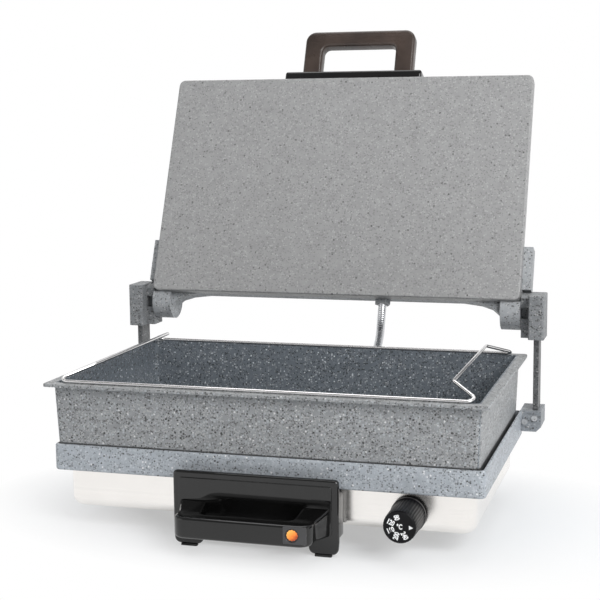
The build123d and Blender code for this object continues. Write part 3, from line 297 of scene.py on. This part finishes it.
def inside_pan(tree, coords):
    """1 within the middle of the pan's walls and above its floor, 0 outside.

    The pan widens by its draft towards the rim, so the walls' middle moves out with height.
    """
    x, y, z = axes_of(tree, coords)
    spread = levels(tree, z, pan_low.z, pan_high.z, 0.0, PAN_DRAFT)
    mask = levels(tree, z, pan_low.z + 1 * MM, pan_low.z + 1.5 * MM)
    inset = FLANGE_WIDTH + PAN_DRAFT + PAN_WALL / 2
    for value, low, high in ((x, pan_low.x, pan_high.x), (y, pan_low.y, pan_high.y)):
        off = maths(tree, "ABSOLUTE", maths(tree, "SUBTRACT", value, (low + high) / 2))
        wall = (high - low) / 2 - inset
        within = levels(tree, maths(tree, "SUBTRACT", off, spread), wall + 0.2 * MM, wall)
        mask = maths(tree, "MULTIPLY", mask, within)
    return mask


def on_shaded_ears(tree, coords):
    """1 on the casting's rear ears, past its side walls and its rear wall, where painted shade darkens them;
    0 elsewhere.
    """
    x, y, _ = axes_of(tree, coords)
    beside = levels(tree, maths(tree, "ABSOLUTE", x), CASTING_SIDE, CASTING_SIDE + 1 * MM)
    behind = levels(tree, y, CASTING_REAR, CASTING_REAR + 1 * MM)
    return maths(tree, "MAXIMUM", beside, behind)


BLUISH = (0.95, 1.0, 1.05)
pan_inside_tones = (grey(116, (0.87, 1.0, 1.14)), [
    (560.0, 0.28, 0.60, grey(62, BLUISH)), (640.0, 0.26, 0.55, grey(150, BLUISH)),
    (420.0, 0.20, 0.46, grey(184, BLUISH)), (380.0, 0.07, 0.38, grey(228, BLUISH)),
])
pan_coat = granite_material("pan_coat", grey(148, (0.97, 1.0, 1.02)), [
    (700.0, 0.32, 0.62, grey(176)), (600.0, 0.30, 0.62, grey(96)), (360.0, 0.24, 0.48, grey(176, BLUISH)),
    (340.0, 0.14, 0.44, grey(60)), (330.0, 0.10, 0.38, grey(212)),
], 0.42, inner=pan_inside_tones)
# The casting's rear ears are darkened by a painted shade.
casting_coat = granite_material("casting_coat", grey(174, (0.93, 1.0, 1.08)), [
    (700.0, 0.32, 0.62, grey(192, BLUISH)), (600.0, 0.28, 0.62, grey(124, BLUISH)),
    (360.0, 0.20, 0.46, grey(200, BLUISH)), (340.0, 0.11, 0.42, grey(78)), (330.0, 0.08, 0.38, grey(228)),
], 0.45, shade_tone=(on_shaded_ears, EAR_SHADE))
plate_coat = granite_material("plate_coat", grey(156), [
    (620.0, 0.24, 0.6, grey(136)), (420.0, 0.14, 0.5, grey(134)), (300.0, 0.07, 0.40, grey(108)),
    (520.0, 0.20, 0.55, grey(176)), (240.0, 0.03, 0.30, grey(84)),
], 0.38, 0.07)
lug_coat = granite_material("lug_coat", grey(166, (0.96, 1.0, 1.04)), [
    (700.0, 0.24, 0.6, grey(182)), (600.0, 0.24, 0.6, grey(116)), (400.0, 0.12, 0.44, grey(196)),
    (380.0, 0.08, 0.4, grey(88)),
], 0.5)
block_coat = granite_material("block_coat", grey(132, (0.96, 1.0, 1.04)), [
    (700.0, 0.28, 0.6, grey(158)), (600.0, 0.26, 0.6, grey(78)), (400.0, 0.12, 0.44, grey(178)),
    (380.0, 0.10, 0.42, grey(60)),
], 0.5)
post_coat = granite_material("post_coat", grey(90, (0.97, 1.0, 1.03)), [
    (700.0, 0.2, 0.6, grey(122)), (600.0, 0.24, 0.6, grey(48)), (380.0, 0.16, 0.44, grey(156)),
], 0.42)
steel = metal_material("steel", (0.945, 0.92, 0.89), 0.22, 0.05, (3.0, 3.0, 420.0), wear=0.03, relief=0.03)
zinc = metal_material("zinc", (0.60, 0.61, 0.62), 0.34, 0.12, (200.0, 200.0, 200.0))
chrome = metal_material("chrome", (0.80, 0.79, 0.79), 0.16, 0.05, (300.0, 300.0, 300.0))
conduit_metal = metal_material("conduit_metal", (0.70, 0.71, 0.73), 0.2, 0.1, (400.0, 400.0, 400.0))
sheath = metal_material("sheath", (0.24, 0.22, 0.20), 0.45, 0.2, (160.0, 160.0, 160.0), wear=0.25)
black_gloss = plastic_material("black_gloss", (0.004, 0.004, 0.004), 0.055, 70.0, 0.02, coat=0.2)
black_satin = plastic_material("black_satin", (0.003, 0.003, 0.003), 0.11, 90.0, 0.03, coat=0.1)
brown_satin = plastic_material("brown_satin", (0.030, 0.021, 0.017), 0.30, 90.0, 0.15, gloss=0.45, uneven=2.4)
black_matt = plastic_material("black_matt", (0.003, 0.003, 0.004), 0.34, 600.0, 0.10, gloss=0.18)
bezel_grey = plastic_material("bezel_grey", (0.022, 0.022, 0.024), 0.16, 300.0, 0.03, coat=0.5)
rubber = plastic_material("rubber", (0.02, 0.02, 0.02), 0.8, 500.0, 0.3)
ceramic = plastic_material("ceramic", (0.72, 0.70, 0.65), 0.6, 500.0, 0.25)
mat_fibre = plastic_material("mat_fibre", (0.62, 0.58, 0.48), 0.95, 180.0, 1.0)
white_print = plastic_material("white_print", (0.80, 0.80, 0.80), 0.5, 500.0, 0.05)


def amber_material():
    """The lamp's lens: amber and glowing, brighter at the upper left by a painted highlight and redder below
    by painted shade.
    """
    material, tree, shader, coords = new_material("amber")
    x, _, z = axes_of(tree, coords)
    middle = (lens_low + lens_high) / 2
    above = maths(tree, "SUBTRACT", z, middle.z)
    beside = maths(tree, "SUBTRACT", x, middle.x)
    # Painted highlight and shade: the colour runs from dark red at the lower right to bright yellow at the
    # upper left, over the lamp's own glow.
    glow = levels(tree, maths(tree, "SUBTRACT", above, beside), -7 * MM, 7 * MM)
    spread = maths(tree, "MULTIPLY", noise(tree, coords, 420.0, 2.0), 0.3)
    shade_tone = ramp(tree, maths(tree, "ADD", maths(tree, "MULTIPLY", glow, 0.75), spread),
                [(0.2, (0.42, 0.06, 0.01)), (0.5, (0.88, 0.24, 0.03)), (0.8, (1.0, 0.46, 0.09))])
    tree.links.new(shade_tone, shader.inputs["Base Color"])
    tree.links.new(shade_tone, shader.inputs["Emission Color"])
    shader.inputs["Emission Strength"].default_value = 0.28
    tree.links.new(levels(tree, noise(tree, coords, 300.0), 0.3, 0.7, 0.14, 0.22), shader.inputs["Roughness"])
    bump(tree, shader, noise(tree, coords, 500.0, 2.0), 0.1, 0.0003)
    return material


amber = amber_material()

finish = {
    "base_housing": steel, "heat_shield": steel,
    "lower_casting": casting_coat, "deep_pan": pan_coat, "lid_plate": plate_coat,
    "lid_rear_casting": lug_coat,
    "hinge_block_left": block_coat, "hinge_block_right": block_coat,
    "hinge_post_left": post_coat, "hinge_post_right": post_coat,
    "lower_heating_element": sheath, "upper_heating_element": sheath,
    "lower_insulation_mat": mat_fibre, "upper_insulation_mat": mat_fibre,
    "thermostat_body": ceramic, "terminal_block": ceramic,
    "control_knob": black_matt, "rear_feet": rubber, "front_foot_pads": rubber,
    "front_handle_plate": black_gloss, "lid_handle_plate": black_gloss,
    "front_handle_grip": black_satin, "lid_handle_grip": brown_satin,
    "lamp_bezel": bezel_grey, "lamp_body": black_matt, "lamp_lens": amber,
    "pan_wire_frame": chrome, "conduit": conduit_metal,
    "conduit_gland_base": black_matt, "cord_inlet_gland": black_matt, "base_gland_nuts": black_matt,
    "conduit_gland_lid": lug_coat, "lid_gland_nut": black_matt,
}
for name, node in nodes.items():
    node.data.materials.clear()
    node.data.materials.append(finish.get(name, zinc))


# Mesh builders

SHARP = 32.0
WELD = 0.002 * MM


def add_piece(name, mesh, material, body, replaced=()):
    """Link a finished mesh as a piece that rides on a body and stands for CAD nodes."""
    piece = bpy.data.objects.new(name, mesh)
    piece.data.materials.append(material)
    bpy.context.scene.collection.objects.link(piece)
    if body:
        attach(piece, body)
    if replaced:
        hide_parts(*replaced)
    return piece


def smoothed(mesh, sharp=SHARP):
    """Shade a mesh smooth, but for edges past an angle in degrees."""
    for polygon in mesh.polygons:
        polygon.use_smooth = True
    mesh.set_sharp_from_angle(angle=math.radians(sharp))
    return mesh


def finished(mesh, place, sharp=SHARP):
    """Weld a mesh, set it in place and shade it."""
    shape = bmesh.new()
    shape.from_mesh(mesh)
    bmesh.ops.remove_doubles(shape, verts=shape.verts, dist=WELD)
    bmesh.ops.recalc_face_normals(shape, faces=shape.faces)
    shape.transform(place)
    shape.to_mesh(mesh)
    shape.free()
    return smoothed(mesh, sharp)


def joined(name, meshes):
    """Several meshes as one."""
    shape = bmesh.new()
    for mesh in meshes:
        shape.from_mesh(mesh)
    whole = bpy.data.meshes.new(name)
    shape.to_mesh(whole)
    shape.free()
    return smoothed(whole)


def rounded(corners, steps=6):
    """A closed outline from (x, y, radius) corners, each rounded by an arc."""
    outline = []
    for before, corner, after in zip(corners[-1:] + corners[:-1], corners, corners[1:] + corners[:1]):
        point = Vector(corner[:2])
        radius = corner[2]
        if radius == 0:
            outline.append(point)
            continue
        way_in = (Vector(before[:2]) - point).normalized()
        way_out = (Vector(after[:2]) - point).normalized()
        half = way_in.angle(way_out) / 2
        centre = point + (way_in + way_out).normalized() * radius / math.sin(half)
        start = point + way_in * radius / math.tan(half) - centre
        end = point + way_out * radius / math.tan(half) - centre
        turn = start.angle_signed(end)
        for step in range(steps + 1):
            spun = start.copy()
            spun.rotate(Matrix.Rotation(-turn * step / steps, 2))
            outline.append(centre + spun)
    return outline


def rectangle(left, low, right, high, radius, steps=6):
    """A rounded rectangle."""
    return rounded([
        (left, low, radius), (right, low, radius), (right, high, radius), (left, high, radius),
    ], steps)


def slab(name, loops, thickness, edge, place):
    """A flat moulding with rounded edges: an outline with holes, centred on the placing plane."""
    curve = bpy.data.curves.new(name, "CURVE")
    curve.dimensions = "2D"
    curve.fill_mode = "BOTH"
    curve.extrude = thickness / 2 - edge
    curve.bevel_depth = edge
    curve.bevel_resolution = 3
    curve.offset = -edge
    for loop in loops:
        spline = curve.splines.new("POLY")
        spline.points.add(len(loop) - 1)
        spline.use_cyclic_u = True
        for point, spot in zip(spline.points, loop):
            point.co = (spot.x, spot.y, 0.0, 1.0)
    holder = bpy.data.objects.new(name, curve)
    mesh = bpy.data.meshes.new_from_object(holder)
    bpy.data.objects.remove(holder)
    mesh.materials.clear()
    return finished(mesh, place)


def lathe(name, profile, place, segments, flutes, flute_depth, fluted):
    """A turned shape from (radius, height) points about the placing matrix's Z, some rings fluted."""
    shape = bmesh.new()
    rings = []
    for index, (radius, height) in enumerate(profile):
        if radius == 0:
            rings.append([shape.verts.new((0, 0, height))])
            continue
        ring = []
        for step in range(segments):
            angle = 2 * math.pi * step / segments
            cut = flute_depth * (0.5 - 0.5 * math.cos(flutes * angle)) if index in fluted else 0.0
            reach = radius - cut
            ring.append(shape.verts.new((reach * math.cos(angle), reach * math.sin(angle), height)))
        rings.append(ring)
    for low, high in zip(rings, rings[1:]):
        for step in range(segments):
            following = (step + 1) % segments
            if len(low) == 1:
                shape.faces.new((low[0], high[following], high[step]))
            elif len(high) == 1:
                shape.faces.new((low[step], low[following], high[0]))
            else:
                shape.faces.new((low[step], low[following], high[following], high[step]))
    mesh = bpy.data.meshes.new(name)
    shape.to_mesh(mesh)
    shape.free()
    return finished(mesh, place)


def facing_front(x, y, z):
    """Placing matrix for a drawing that faces the front: local x right, local y up."""
    return Matrix.Translation((x, y, z)) @ Matrix.Rotation(math.radians(90), 4, "X")


def in_lid(reach, height):
    """Placing matrix in the open lid: local x right, local y to the free end, local z off its front."""
    tilt = Matrix.Rotation(math.pi - LID_OPEN, 4, "X")
    return Matrix.Translation(HINGE) @ tilt @ Matrix.Translation((0, reach, height))


# Front handle: a bevelled plate with two foot lobes, a raised panel and a hollow spacer behind it,
# and the grip. Sizes in millimetres; depths are from the plate's front.

PLATE_T = 6.8
PLATE_DEPTH = 4.6
LOBE_WIDTH = 28
LOBE_TOP = 13
PANEL_T = 2.4
PANEL_DEPTH = 1.2
PANEL_MARGIN = 6
PANEL_FOOT = 20
SPACER_T = 19
SPACER_DEPTH = 17.5
SPACER_SIDE = 79
SPACER_FOOT = 13
SPACER_TOP = 57
SPACER_WALL = 4
# The grip's bar, its arms at the bar and at their root, and how far they splay out to the root
GRIP_BAR = 17
GRIP_ARM = 22
GRIP_ROOT = 25.5
GRIP_SPLAY = 7
# The arms swell towards the plate, more above than below
SWELL_UP = 5.0 * MM
SWELL_DOWN = 2.0 * MM
SWELL_LENGTH = 24 * MM
SWELL_FROM = 5 * MM
# How far the lamp's frame stands proud of the grip's bar
LAMP_PROUD = 0.6


def front_plate():
    """The front plate's moulding."""
    side = plate_high.x / MM
    top = plate_high.z / MM
    foot = plate_low.z / MM
    inner = side - 1 - LOBE_WIDTH
    outline = rounded([
        (-side, top, 4), (-side, LOBE_TOP + 1, 1), (-side + 1, foot, 6), (-inner, foot, 6),
        (-inner, LOBE_TOP, 4), (inner, LOBE_TOP, 4), (inner, foot, 6), (side - 1, foot, 6),
        (side, LOBE_TOP + 1, 1), (side, top, 4),
    ])

    def oblong(half, low, high, radius):
        """An upright outline about the plate's middle line."""
        corners = ((-half, high), (-half, low), (half, low), (half, high))
        return rounded([(x, z, radius) for x, z in corners])

    def at_depth(depth):
        """Placing matrix at a depth behind the plate's front."""
        return facing_front(0, plate_low.y + depth * MM, 0) @ IN_MM

    panel = oblong(side - PANEL_MARGIN, PANEL_FOOT, top - PANEL_MARGIN, 3)
    outer = oblong(SPACER_SIDE, SPACER_FOOT, SPACER_TOP, 4)
    hole = oblong(SPACER_SIDE - SPACER_WALL, SPACER_FOOT + SPACER_WALL, SPACER_TOP - SPACER_WALL, 2)
    parts = [
        slab("plate_base", [outline], PLATE_T, 2.6, at_depth(PLATE_DEPTH)),
        slab("plate_panel", [panel], PANEL_T, 0.7, at_depth(PANEL_DEPTH)),
        slab("plate_box", [outer, hole], SPACER_T, 0.5, at_depth(SPACER_DEPTH)),
    ]
    add_piece("front_plate_moulding", joined("front_plate", parts), black_gloss,
              "base", ("front_handle_plate",))


def front_grip():
    """The front grip, drawn from above with its bar at the low end of local y."""
    reach = (grip_high.y - grip_low.y) / MM
    side = grip_high.x / MM
    bar = side - GRIP_SPLAY
    root = side - GRIP_ROOT
    gap = bar - GRIP_ARM
    loop = rounded([
        (-side, reach, 0), (-bar, reach / 2, 30), (-bar, LAMP_PROUD, 12), (bar, LAMP_PROUD, 12),
        (bar, reach / 2, 30), (side, reach, 0),
        (root, reach, 0), (gap, GRIP_BAR, 8), (-gap, GRIP_BAR, 8), (-root, reach, 0),
    ], 8)
    middle_z = (grip_low.z + grip_high.z) / 2
    place = Matrix.Translation((0, grip_low.y, middle_z)) @ IN_MM
    grip = slab("front_grip", [loop], (grip_high.z - grip_low.z) / MM, 3.0, place)
    for vertex in grip.vertices:
        near = max(0.0, (vertex.co.y - grip_high.y + SWELL_LENGTH) / SWELL_LENGTH)
        swell = SWELL_UP if vertex.co.z > middle_z else -SWELL_DOWN
        if abs(vertex.co.z - middle_z) > SWELL_FROM:
            vertex.co.z += swell * near * near
    add_piece("front_grip_moulding", grip, black_satin, "base", ("front_handle_grip",))


front_plate()
front_grip()


# Lid handle: a plate on the lid's end with a step on it and a spacer behind it, and the loop-shaped
# grip. Sizes in millimetres, laid out in the lid's own directions.

LID_END = 265.3
LID_BASE_T = 12.5
LID_STEP_T = 3
LID_STEP_RISE = 1.2
LID_SPACER_T = 10.3
LOOP_REACH = 58.0
LOOP_BAR = 19.0
LOOP_ARM = 22.0
LOOP_T = 16
# Half the width and half the depth of the plate, its step and its spacer
LID_BASE = (81, 18)
LID_STEP = (77, 14)
LID_SPACER = (71, 5.5)


def lid_handle():
    """The plate on the lid's end and the loop above it."""
    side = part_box("lid_handle_grip")[1].x / MM
    root = LID_END + LID_BASE_T
    far = root + LOOP_REACH
    arm = side - LOOP_ARM
    loop = rounded([
        (-side, root, 0), (-side, far, 12), (side, far, 12), (side, root, 0),
        (arm, root, 0), (arm, far - LOOP_BAR, 7), (-arm, far - LOOP_BAR, 7), (-arm, root, 0),
    ], 8)
    grip = slab("lid_grip", [loop], LOOP_T, 3.4, in_lid(0, -7 * MM) @ IN_MM)
    add_piece("lid_grip_moulding", grip, brown_satin, "lid", ("lid_handle_grip",))

    across = Matrix.Rotation(math.radians(90), 4, "X")

    def at_reach(reach, height):
        """Placing matrix across the lid, at a reach along it and a height off its front."""
        return in_lid(reach * MM, height * MM) @ across @ IN_MM

    def outline(half, radius):
        """An outline about the middle, from half its width and half its depth."""
        return rectangle(-half[0], -half[1], half[0], half[1], radius)

    base_t = LID_BASE_T - LID_STEP_RISE
    parts = [
        slab("lid_base", [outline(LID_BASE, 3)], base_t, 2.6, at_reach(LID_END + base_t / 2, 1)),
        slab("lid_step", [outline(LID_STEP, 2)], LID_STEP_T, 0.8, at_reach(root - LID_STEP_T / 2, 1)),
        slab("lid_spacer", [outline(LID_SPACER, 3)], LID_SPACER_T, 0.4,
             at_reach(LID_END - LID_SPACER_T / 2, 3)),
    ]
    add_piece("lid_plate_moulding", joined("lid_base_plate", parts), black_gloss,
              "lid", ("lid_handle_plate",))


lid_handle()


# Knob: a fluted grip on a skirt, with a dial of generic numbers on its face. Each mark is given
# with its place on the dial in degrees; sizes in millimetres.

DIAL_MARKS = [("80", 108), ("120", 156), ("160", 204), ("200", 252), ("240", 300)]
DIAL_RADIUS = 8.9
DIAL_SUNK = 0.5
MARK_SIZE = 6.4
MARK_WEIGHT = 0.27
MARK_RELIEF = 0.08
MARK_NARROW = 0.74


def dial_mark(text):
    """The mesh of one narrow mark, flat on the local plane."""
    words = bpy.data.curves.new("mark", "FONT")
    words.body = text
    words.size = MARK_SIZE
    words.offset = MARK_WEIGHT
    words.extrude = MARK_RELIEF
    words.align_x = "CENTER"
    words.align_y = "CENTER"
    holder = bpy.data.objects.new("mark", words)
    mesh = bpy.data.meshes.new_from_object(holder)
    bpy.data.objects.remove(holder)
    mesh.transform(Matrix.Diagonal((MARK_NARROW, 1.0, 1.0, 1.0)))
    return mesh


def knob():
    """The turned knob and the white print on its face, both on the knob's body."""
    middle = (knob_low + knob_high) / 2
    skirt = (knob_high.x - knob_low.x) / 2 / MM
    length = (knob_high.y - knob_low.y) / MM
    face = skirt - 1.0
    profile = [
        (6.0, 2.0), (13.2, 2.0), (13.3, 0.0), (skirt - 0.6, 0.0), (skirt, 0.6), (skirt, 3.6),
        (skirt - 0.5, 4.4), (skirt - 0.8, 6.0), (skirt - 0.9, 12.0), (face - 0.1, length - 8),
        (face - 0.15, length - 2.6), (face - 0.7, length - 0.8), (face - 1.9, length - 0.1),
        (face - 2.8, length - DIAL_SUNK), (0, length - DIAL_SUNK),
    ]
    place = facing_front(middle.x, knob_high.y, middle.z) @ IN_MM
    body = lathe("knob", profile, place, 216, flutes=36, flute_depth=0.5, fluted=(7, 8, 9, 10))
    add_piece("knob_moulding", body, black_matt, "knob", ("control_knob",))

    shape = bmesh.new()
    on_face = Matrix.Translation((0, 0, length - DIAL_SUNK))
    for text, turn in DIAL_MARKS:
        spoke = Matrix.Rotation(math.radians(turn), 4, "Z") @ Matrix.Translation((DIAL_RADIUS, 0, 0))
        upright = Matrix.Rotation(math.pi if 90 < turn < 270 else 0.0, 4, "Z")
        mesh = dial_mark(text)
        mesh.transform(on_face @ spoke @ upright)
        shape.from_mesh(mesh)
    unit = dial_mark("\u00b0C")
    unit.transform(on_face)
    shape.from_mesh(unit)
    pointer = [(12.4, 0, MARK_RELIEF), (8.6, 2.0, MARK_RELIEF), (8.6, -2.0, MARK_RELIEF)]
    shape.faces.new([shape.verts.new(on_face @ Vector(spot)) for spot in pointer])
    shape.transform(place)
    print_mesh = bpy.data.meshes.new("knob_print")
    shape.to_mesh(print_mesh)
    shape.free()
    add_piece("knob_dial_print", print_mesh, white_print, "knob")


knob()


# Signal lamp: a glossy frame and a domed amber lens, in millimetres

LENS_GAP = 0.1
DOME_FOOT = 1.2
DOME_RISE = 1.15


def lamp():
    """The lamp's frame and lens in the front grip's bar."""
    size = (bezel_high - bezel_low) / MM
    middle = (bezel_low + bezel_high) / 2
    lens_middle = (lens_low + lens_high) / 2
    shift = (lens_middle.x - middle.x) / MM
    radius = (lens_high.x - lens_low.x) / 2 / MM
    outline = rectangle(-size.x / 2, -size.z / 2, size.x / 2, size.z / 2, 1.2, 4)
    bore = radius + LENS_GAP
    hole = []
    for step in range(48):
        angle = math.radians(-360 * step / 48)
        hole.append(Vector((shift + bore * math.cos(angle), bore * math.sin(angle))))
    place = facing_front(middle.x, middle.y, middle.z) @ IN_MM
    surround = slab("lamp_frame", [outline, hole], size.y, 0.4, place)
    add_piece("lamp_frame_moulding", surround, bezel_grey, "base", ("lamp_bezel",))

    dome = [(radius, -size.y)]
    for step in range(8):
        angle = math.radians(90 * step / 8)
        dome.append((radius * math.cos(angle), DOME_RISE * math.sin(angle) - DOME_FOOT))
    dome.append((0, DOME_RISE - DOME_FOOT))
    place = facing_front(lens_middle.x, bezel_low.y, lens_middle.z) @ IN_MM
    lens = lathe("lens", dome, place, 64, flutes=12, flute_depth=0.5, fluted=(3, 4))
    add_piece("lamp_lens_dome", lens, amber, "base", ("lamp_lens",))


lamp()


# Glands on the housing's rear wall: a round foot and a ribbed dome nut

def gland(node, bore):
    """A cable gland that stands for a node, its foot on the housing's rear wall."""
    low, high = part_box(node)
    radius = (high.x - low.x) / 2 / MM
    long = (high.y - housing_rear) / MM
    profile = [
        (bore, -1.0), (radius - 0.4, 0.0), (radius - 0.1, 0.4), (radius - 0.1, long * 0.3),
        (radius - 1.4, long * 0.36), (radius - 1.4, long * 0.42), (radius - 0.3, long * 0.46),
        (radius - 0.3, long * 0.8), (radius - 1.4, long * 0.92), (bore + 0.6, long), (bore, long),
        (bore, -1.0),
    ]
    rearward = Matrix.Rotation(math.radians(-90), 4, "X")
    spot = Matrix.Translation(((low.x + high.x) / 2, housing_rear, (low.z + high.z) / 2))
    place = spot @ rearward @ IN_MM
    mesh = lathe(node + "_cap", profile, place, 120, flutes=20, flute_depth=0.7, fluted=(6, 7))
    add_piece(node + "_moulding", mesh, black_matt, "base", (node,))


gland("conduit_gland_base", 4.7)
gland("cord_inlet_gland", 4.0)


# Conduit: one strip-wound hose in two lengths, cut at one height

LID_GLAND_X = 56.5 * MM
ROUTE = [
    in_lid(11 * MM, 3 * MM) @ Vector((LID_GLAND_X, 0, 0)),
    in_lid(-16 * MM, 3 * MM) @ Vector((LID_GLAND_X, 0, 0)),
    Vector((0.0515, 0.1015, 0.154)),
    Vector((0.0390, 0.1125, 0.120)),
    Vector((0.0380, 0.1125, 0.077)),
    Vector((0.0360, 0.1055, 0.041)),
    Vector((0.0360, 0.0743, 0.041)),
]
HOSE_RADIUS = 4.6 * MM
HOSE_PITCH = 2.2 * MM
HOSE_GROOVE = 0.28 * MM
HOSE_SIDES = 24
HOSE_SHARP = 60
# Height where the two lengths meet.
HOSE_SPLIT = 0.119


def route_points():
    """The hose's centre line, read from a smooth spline through the route."""
    curve = bpy.data.curves.new("conduit_route", "CURVE")
    curve.dimensions = "3D"
    curve.resolution_u = 110
    line = curve.splines.new("NURBS")
    line.points.add(len(ROUTE) - 1)
    for point, spot in zip(line.points, ROUTE):
        point.co = (*spot, 1.0)
    line.order_u = 3
    line.use_endpoint_u = True
    holder = bpy.data.objects.new("conduit_route", curve)
    mesh = bpy.data.meshes.new_from_object(holder)
    spots = [vertex.co.copy() for vertex in mesh.vertices]
    bpy.data.objects.remove(holder)
    bpy.data.meshes.remove(mesh)
    return spots


def hose_rings():
    """Rings of points along the hose, grooved by a helix."""
    spots = route_points()
    side = Vector((1, 0, 0))
    walked = 0.0
    rings = []
    for index, spot in enumerate(spots):
        ahead = spots[min(index + 1, len(spots) - 1)]
        behind = spots[max(index - 1, 0)]
        along = (ahead - behind).normalized()
        side = (side - along * side.dot(along)).normalized()
        over = along.cross(side)
        if index:
            walked += (spot - spots[index - 1]).length
        ring = []
        for step in range(HOSE_SIDES):
            angle = 2 * math.pi * step / HOSE_SIDES
            phase = math.cos(2 * math.pi * walked / HOSE_PITCH - angle)
            radius = HOSE_RADIUS - HOSE_GROOVE * max(0.0, phase) ** 4
            ring.append(spot + (side * math.cos(angle) + over * math.sin(angle)) * radius)
        rings.append(ring)
    return rings


def hose_length(name, rings):
    """One length of the hose, from a run of its rings, set in place on no body."""
    shape = bmesh.new()
    made = [[shape.verts.new(point) for point in ring] for ring in rings]
    for low, high in zip(made, made[1:]):
        for step in range(HOSE_SIDES):
            following = (step + 1) % HOSE_SIDES
            shape.faces.new((low[step], low[following], high[following], high[step]))
    mesh = bpy.data.meshes.new(name)
    shape.to_mesh(mesh)
    shape.free()
    tube = finished(mesh, Matrix.Identity(4), HOSE_SHARP)
    piece = add_piece(name, tube, conduit_metal, None, ("conduit",))
    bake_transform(piece)


hose = hose_rings()
split = next(index for index, ring in enumerate(hose) if ring[0].z < HOSE_SPLIT)
hose_length("conduit_upper", hose[:split + 1])
hose_length("conduit_lower", hose[split:])


# Stage: a pale floor that curves up into a backdrop, with far walls at its front and sides, so that
# low views see no horizon

STAGE_REACH = 16.0
STAGE_REAR = 2.0
STAGE_HEIGHT = 6.0
CURVE_RADIUS = 0.8
CURVE_STEPS = 12
# The shade near the object: its middle, the stretch of its ring along each axis, its inner and outer
# size, and how much of the white is left in its middle
SHADE_X = 0.03
SHADE_STRETCH = (1.0, 1.65, 1.0)
SHADE_INNER = 0.20
SHADE_OUTER = 0.38
SHADE_WHITE = 0.30


def stage_material():
    """White where the camera sees it, a little less near the object so that its shadow shows."""
    material = bpy.data.materials.new("stage_white")
    material.use_nodes = True
    tree = material.node_tree
    shader = tree.nodes["Principled BSDF"]
    shader.inputs["Base Color"].default_value = (0.80, 0.82, 0.84, 1.0)
    shader.inputs["Roughness"].default_value = 0.75
    glow = tree.nodes.new("ShaderNodeEmission")
    glow.inputs["Strength"].default_value = 1.0
    path = tree.nodes.new("ShaderNodeLightPath")
    seen = maths(tree, "MAXIMUM", path.outputs["Is Camera Ray"], path.outputs["Is Glossy Ray"])
    seen = maths(tree, "MAXIMUM", seen, path.outputs["Is Transmission Ray"])
    coords = tree.nodes.new("ShaderNodeTexCoord")
    around = tree.nodes.new("ShaderNodeVectorMath")
    around.operation = "MULTIPLY_ADD"
    around.inputs[1].default_value = SHADE_STRETCH
    around.inputs[2].default_value = (-SHADE_X, -SHADE_STRETCH[1] * CASTING_Y, 0.0)
    tree.links.new(coords.outputs["Object"], around.inputs[0])
    distance = tree.nodes.new("ShaderNodeVectorMath")
    distance.operation = "LENGTH"
    tree.links.new(around.outputs["Vector"], distance.inputs[0])
    share = levels(tree, distance.outputs["Value"], SHADE_INNER, SHADE_OUTER, SHADE_WHITE, 1.0)
    mix = tree.nodes.new("ShaderNodeMixShader")
    tree.links.new(maths(tree, "MULTIPLY", seen, share), mix.inputs[0])
    tree.links.new(shader.outputs["BSDF"], mix.inputs[1])
    tree.links.new(glow.outputs["Emission"], mix.inputs[2])
    tree.links.new(mix.outputs["Shader"], tree.nodes["Material Output"].inputs["Surface"])
    return material


def stage_mesh():
    """The floor, its curve up into the backdrop, and the far walls."""
    start = STAGE_REAR - CURVE_RADIUS
    rows = [(-STAGE_REACH, 0.0), (start, 0.0)]
    for step in range(1, CURVE_STEPS + 1):
        angle = math.radians(90 * step / CURVE_STEPS)
        y = start + CURVE_RADIUS * math.sin(angle)
        rows.append((y, CURVE_RADIUS - CURVE_RADIUS * math.cos(angle)))
    rows.append((STAGE_REAR, STAGE_HEIGHT))
    points = [(x, y, z) for y, z in rows for x in (-STAGE_REACH, STAGE_REACH)]
    faces = [(2 * i, 2 * i + 1, 2 * i + 3, 2 * i + 2) for i in range(len(rows) - 1)]
    corner = len(points)
    for z in (0.0, STAGE_HEIGHT):
        points += [(-STAGE_REACH, -STAGE_REACH, z), (STAGE_REACH, -STAGE_REACH, z),
                   (STAGE_REACH, STAGE_REAR, z), (-STAGE_REACH, STAGE_REAR, z)]
    for first, second in ((0, 1), (1, 2), (3, 0)):
        faces.append((corner + first, corner + second, corner + second + 4, corner + first + 4))
    mesh = bpy.data.meshes.new("stage")
    mesh.from_pydata(points, [], faces)
    for polygon in mesh.polygons:
        polygon.use_smooth = True
    return mesh


stage = bpy.data.objects.new("stage", stage_mesh())
stage.data.materials.append(stage_material())
bpy.context.scene.collection.objects.link(stage)


# Camera at the photograph's angle

camera_data = bpy.data.cameras.new("camera")
camera_data.lens = 81.66
camera_data.sensor_width = 36.0
camera = bpy.data.objects.new("camera", camera_data)
camera.location = (0.3914, -1.3609, 0.4072)
camera.rotation_euler = [math.radians(a) for a in (82.1235, 0.5465, 16.3942)]
bpy.context.scene.collection.objects.link(camera)
bpy.context.scene.camera = camera


# Lights and world

def area_light(name, place, target, size, power):
    """A soft rectangular light aimed at a point."""
    data = bpy.data.lights.new(name, "AREA")
    data.shape = "RECTANGLE"
    data.size, data.size_y = size
    data.energy = power
    light = bpy.data.objects.new(name, data)
    light.location = place
    light.rotation_euler = (Vector(target) - Vector(place)).to_track_quat("-Z", "Y").to_euler()
    bpy.context.scene.collection.objects.link(light)


area_light("key", (1.6, -1.4, 1.5), (0, 0, 0.15), (1.4, 1.4), 47)
area_light("fill", (-1.6, -1.3, 1.0), (0, 0, 0.15), (1.4, 1.2), 4)
area_light("top", (0.0, 0.3, 2.2), (0, 0, 0), (1.8, 1.8), 20)

world = bpy.data.worlds.new("world")
world.use_nodes = True
background = world.node_tree.nodes["Background"]
background.inputs["Color"].default_value = (1.0, 1.0, 1.0, 1.0)
background.inputs["Strength"].default_value = 0.28
bpy.context.scene.world = world
bpy.context.scene.view_settings.view_transform = "Standard"
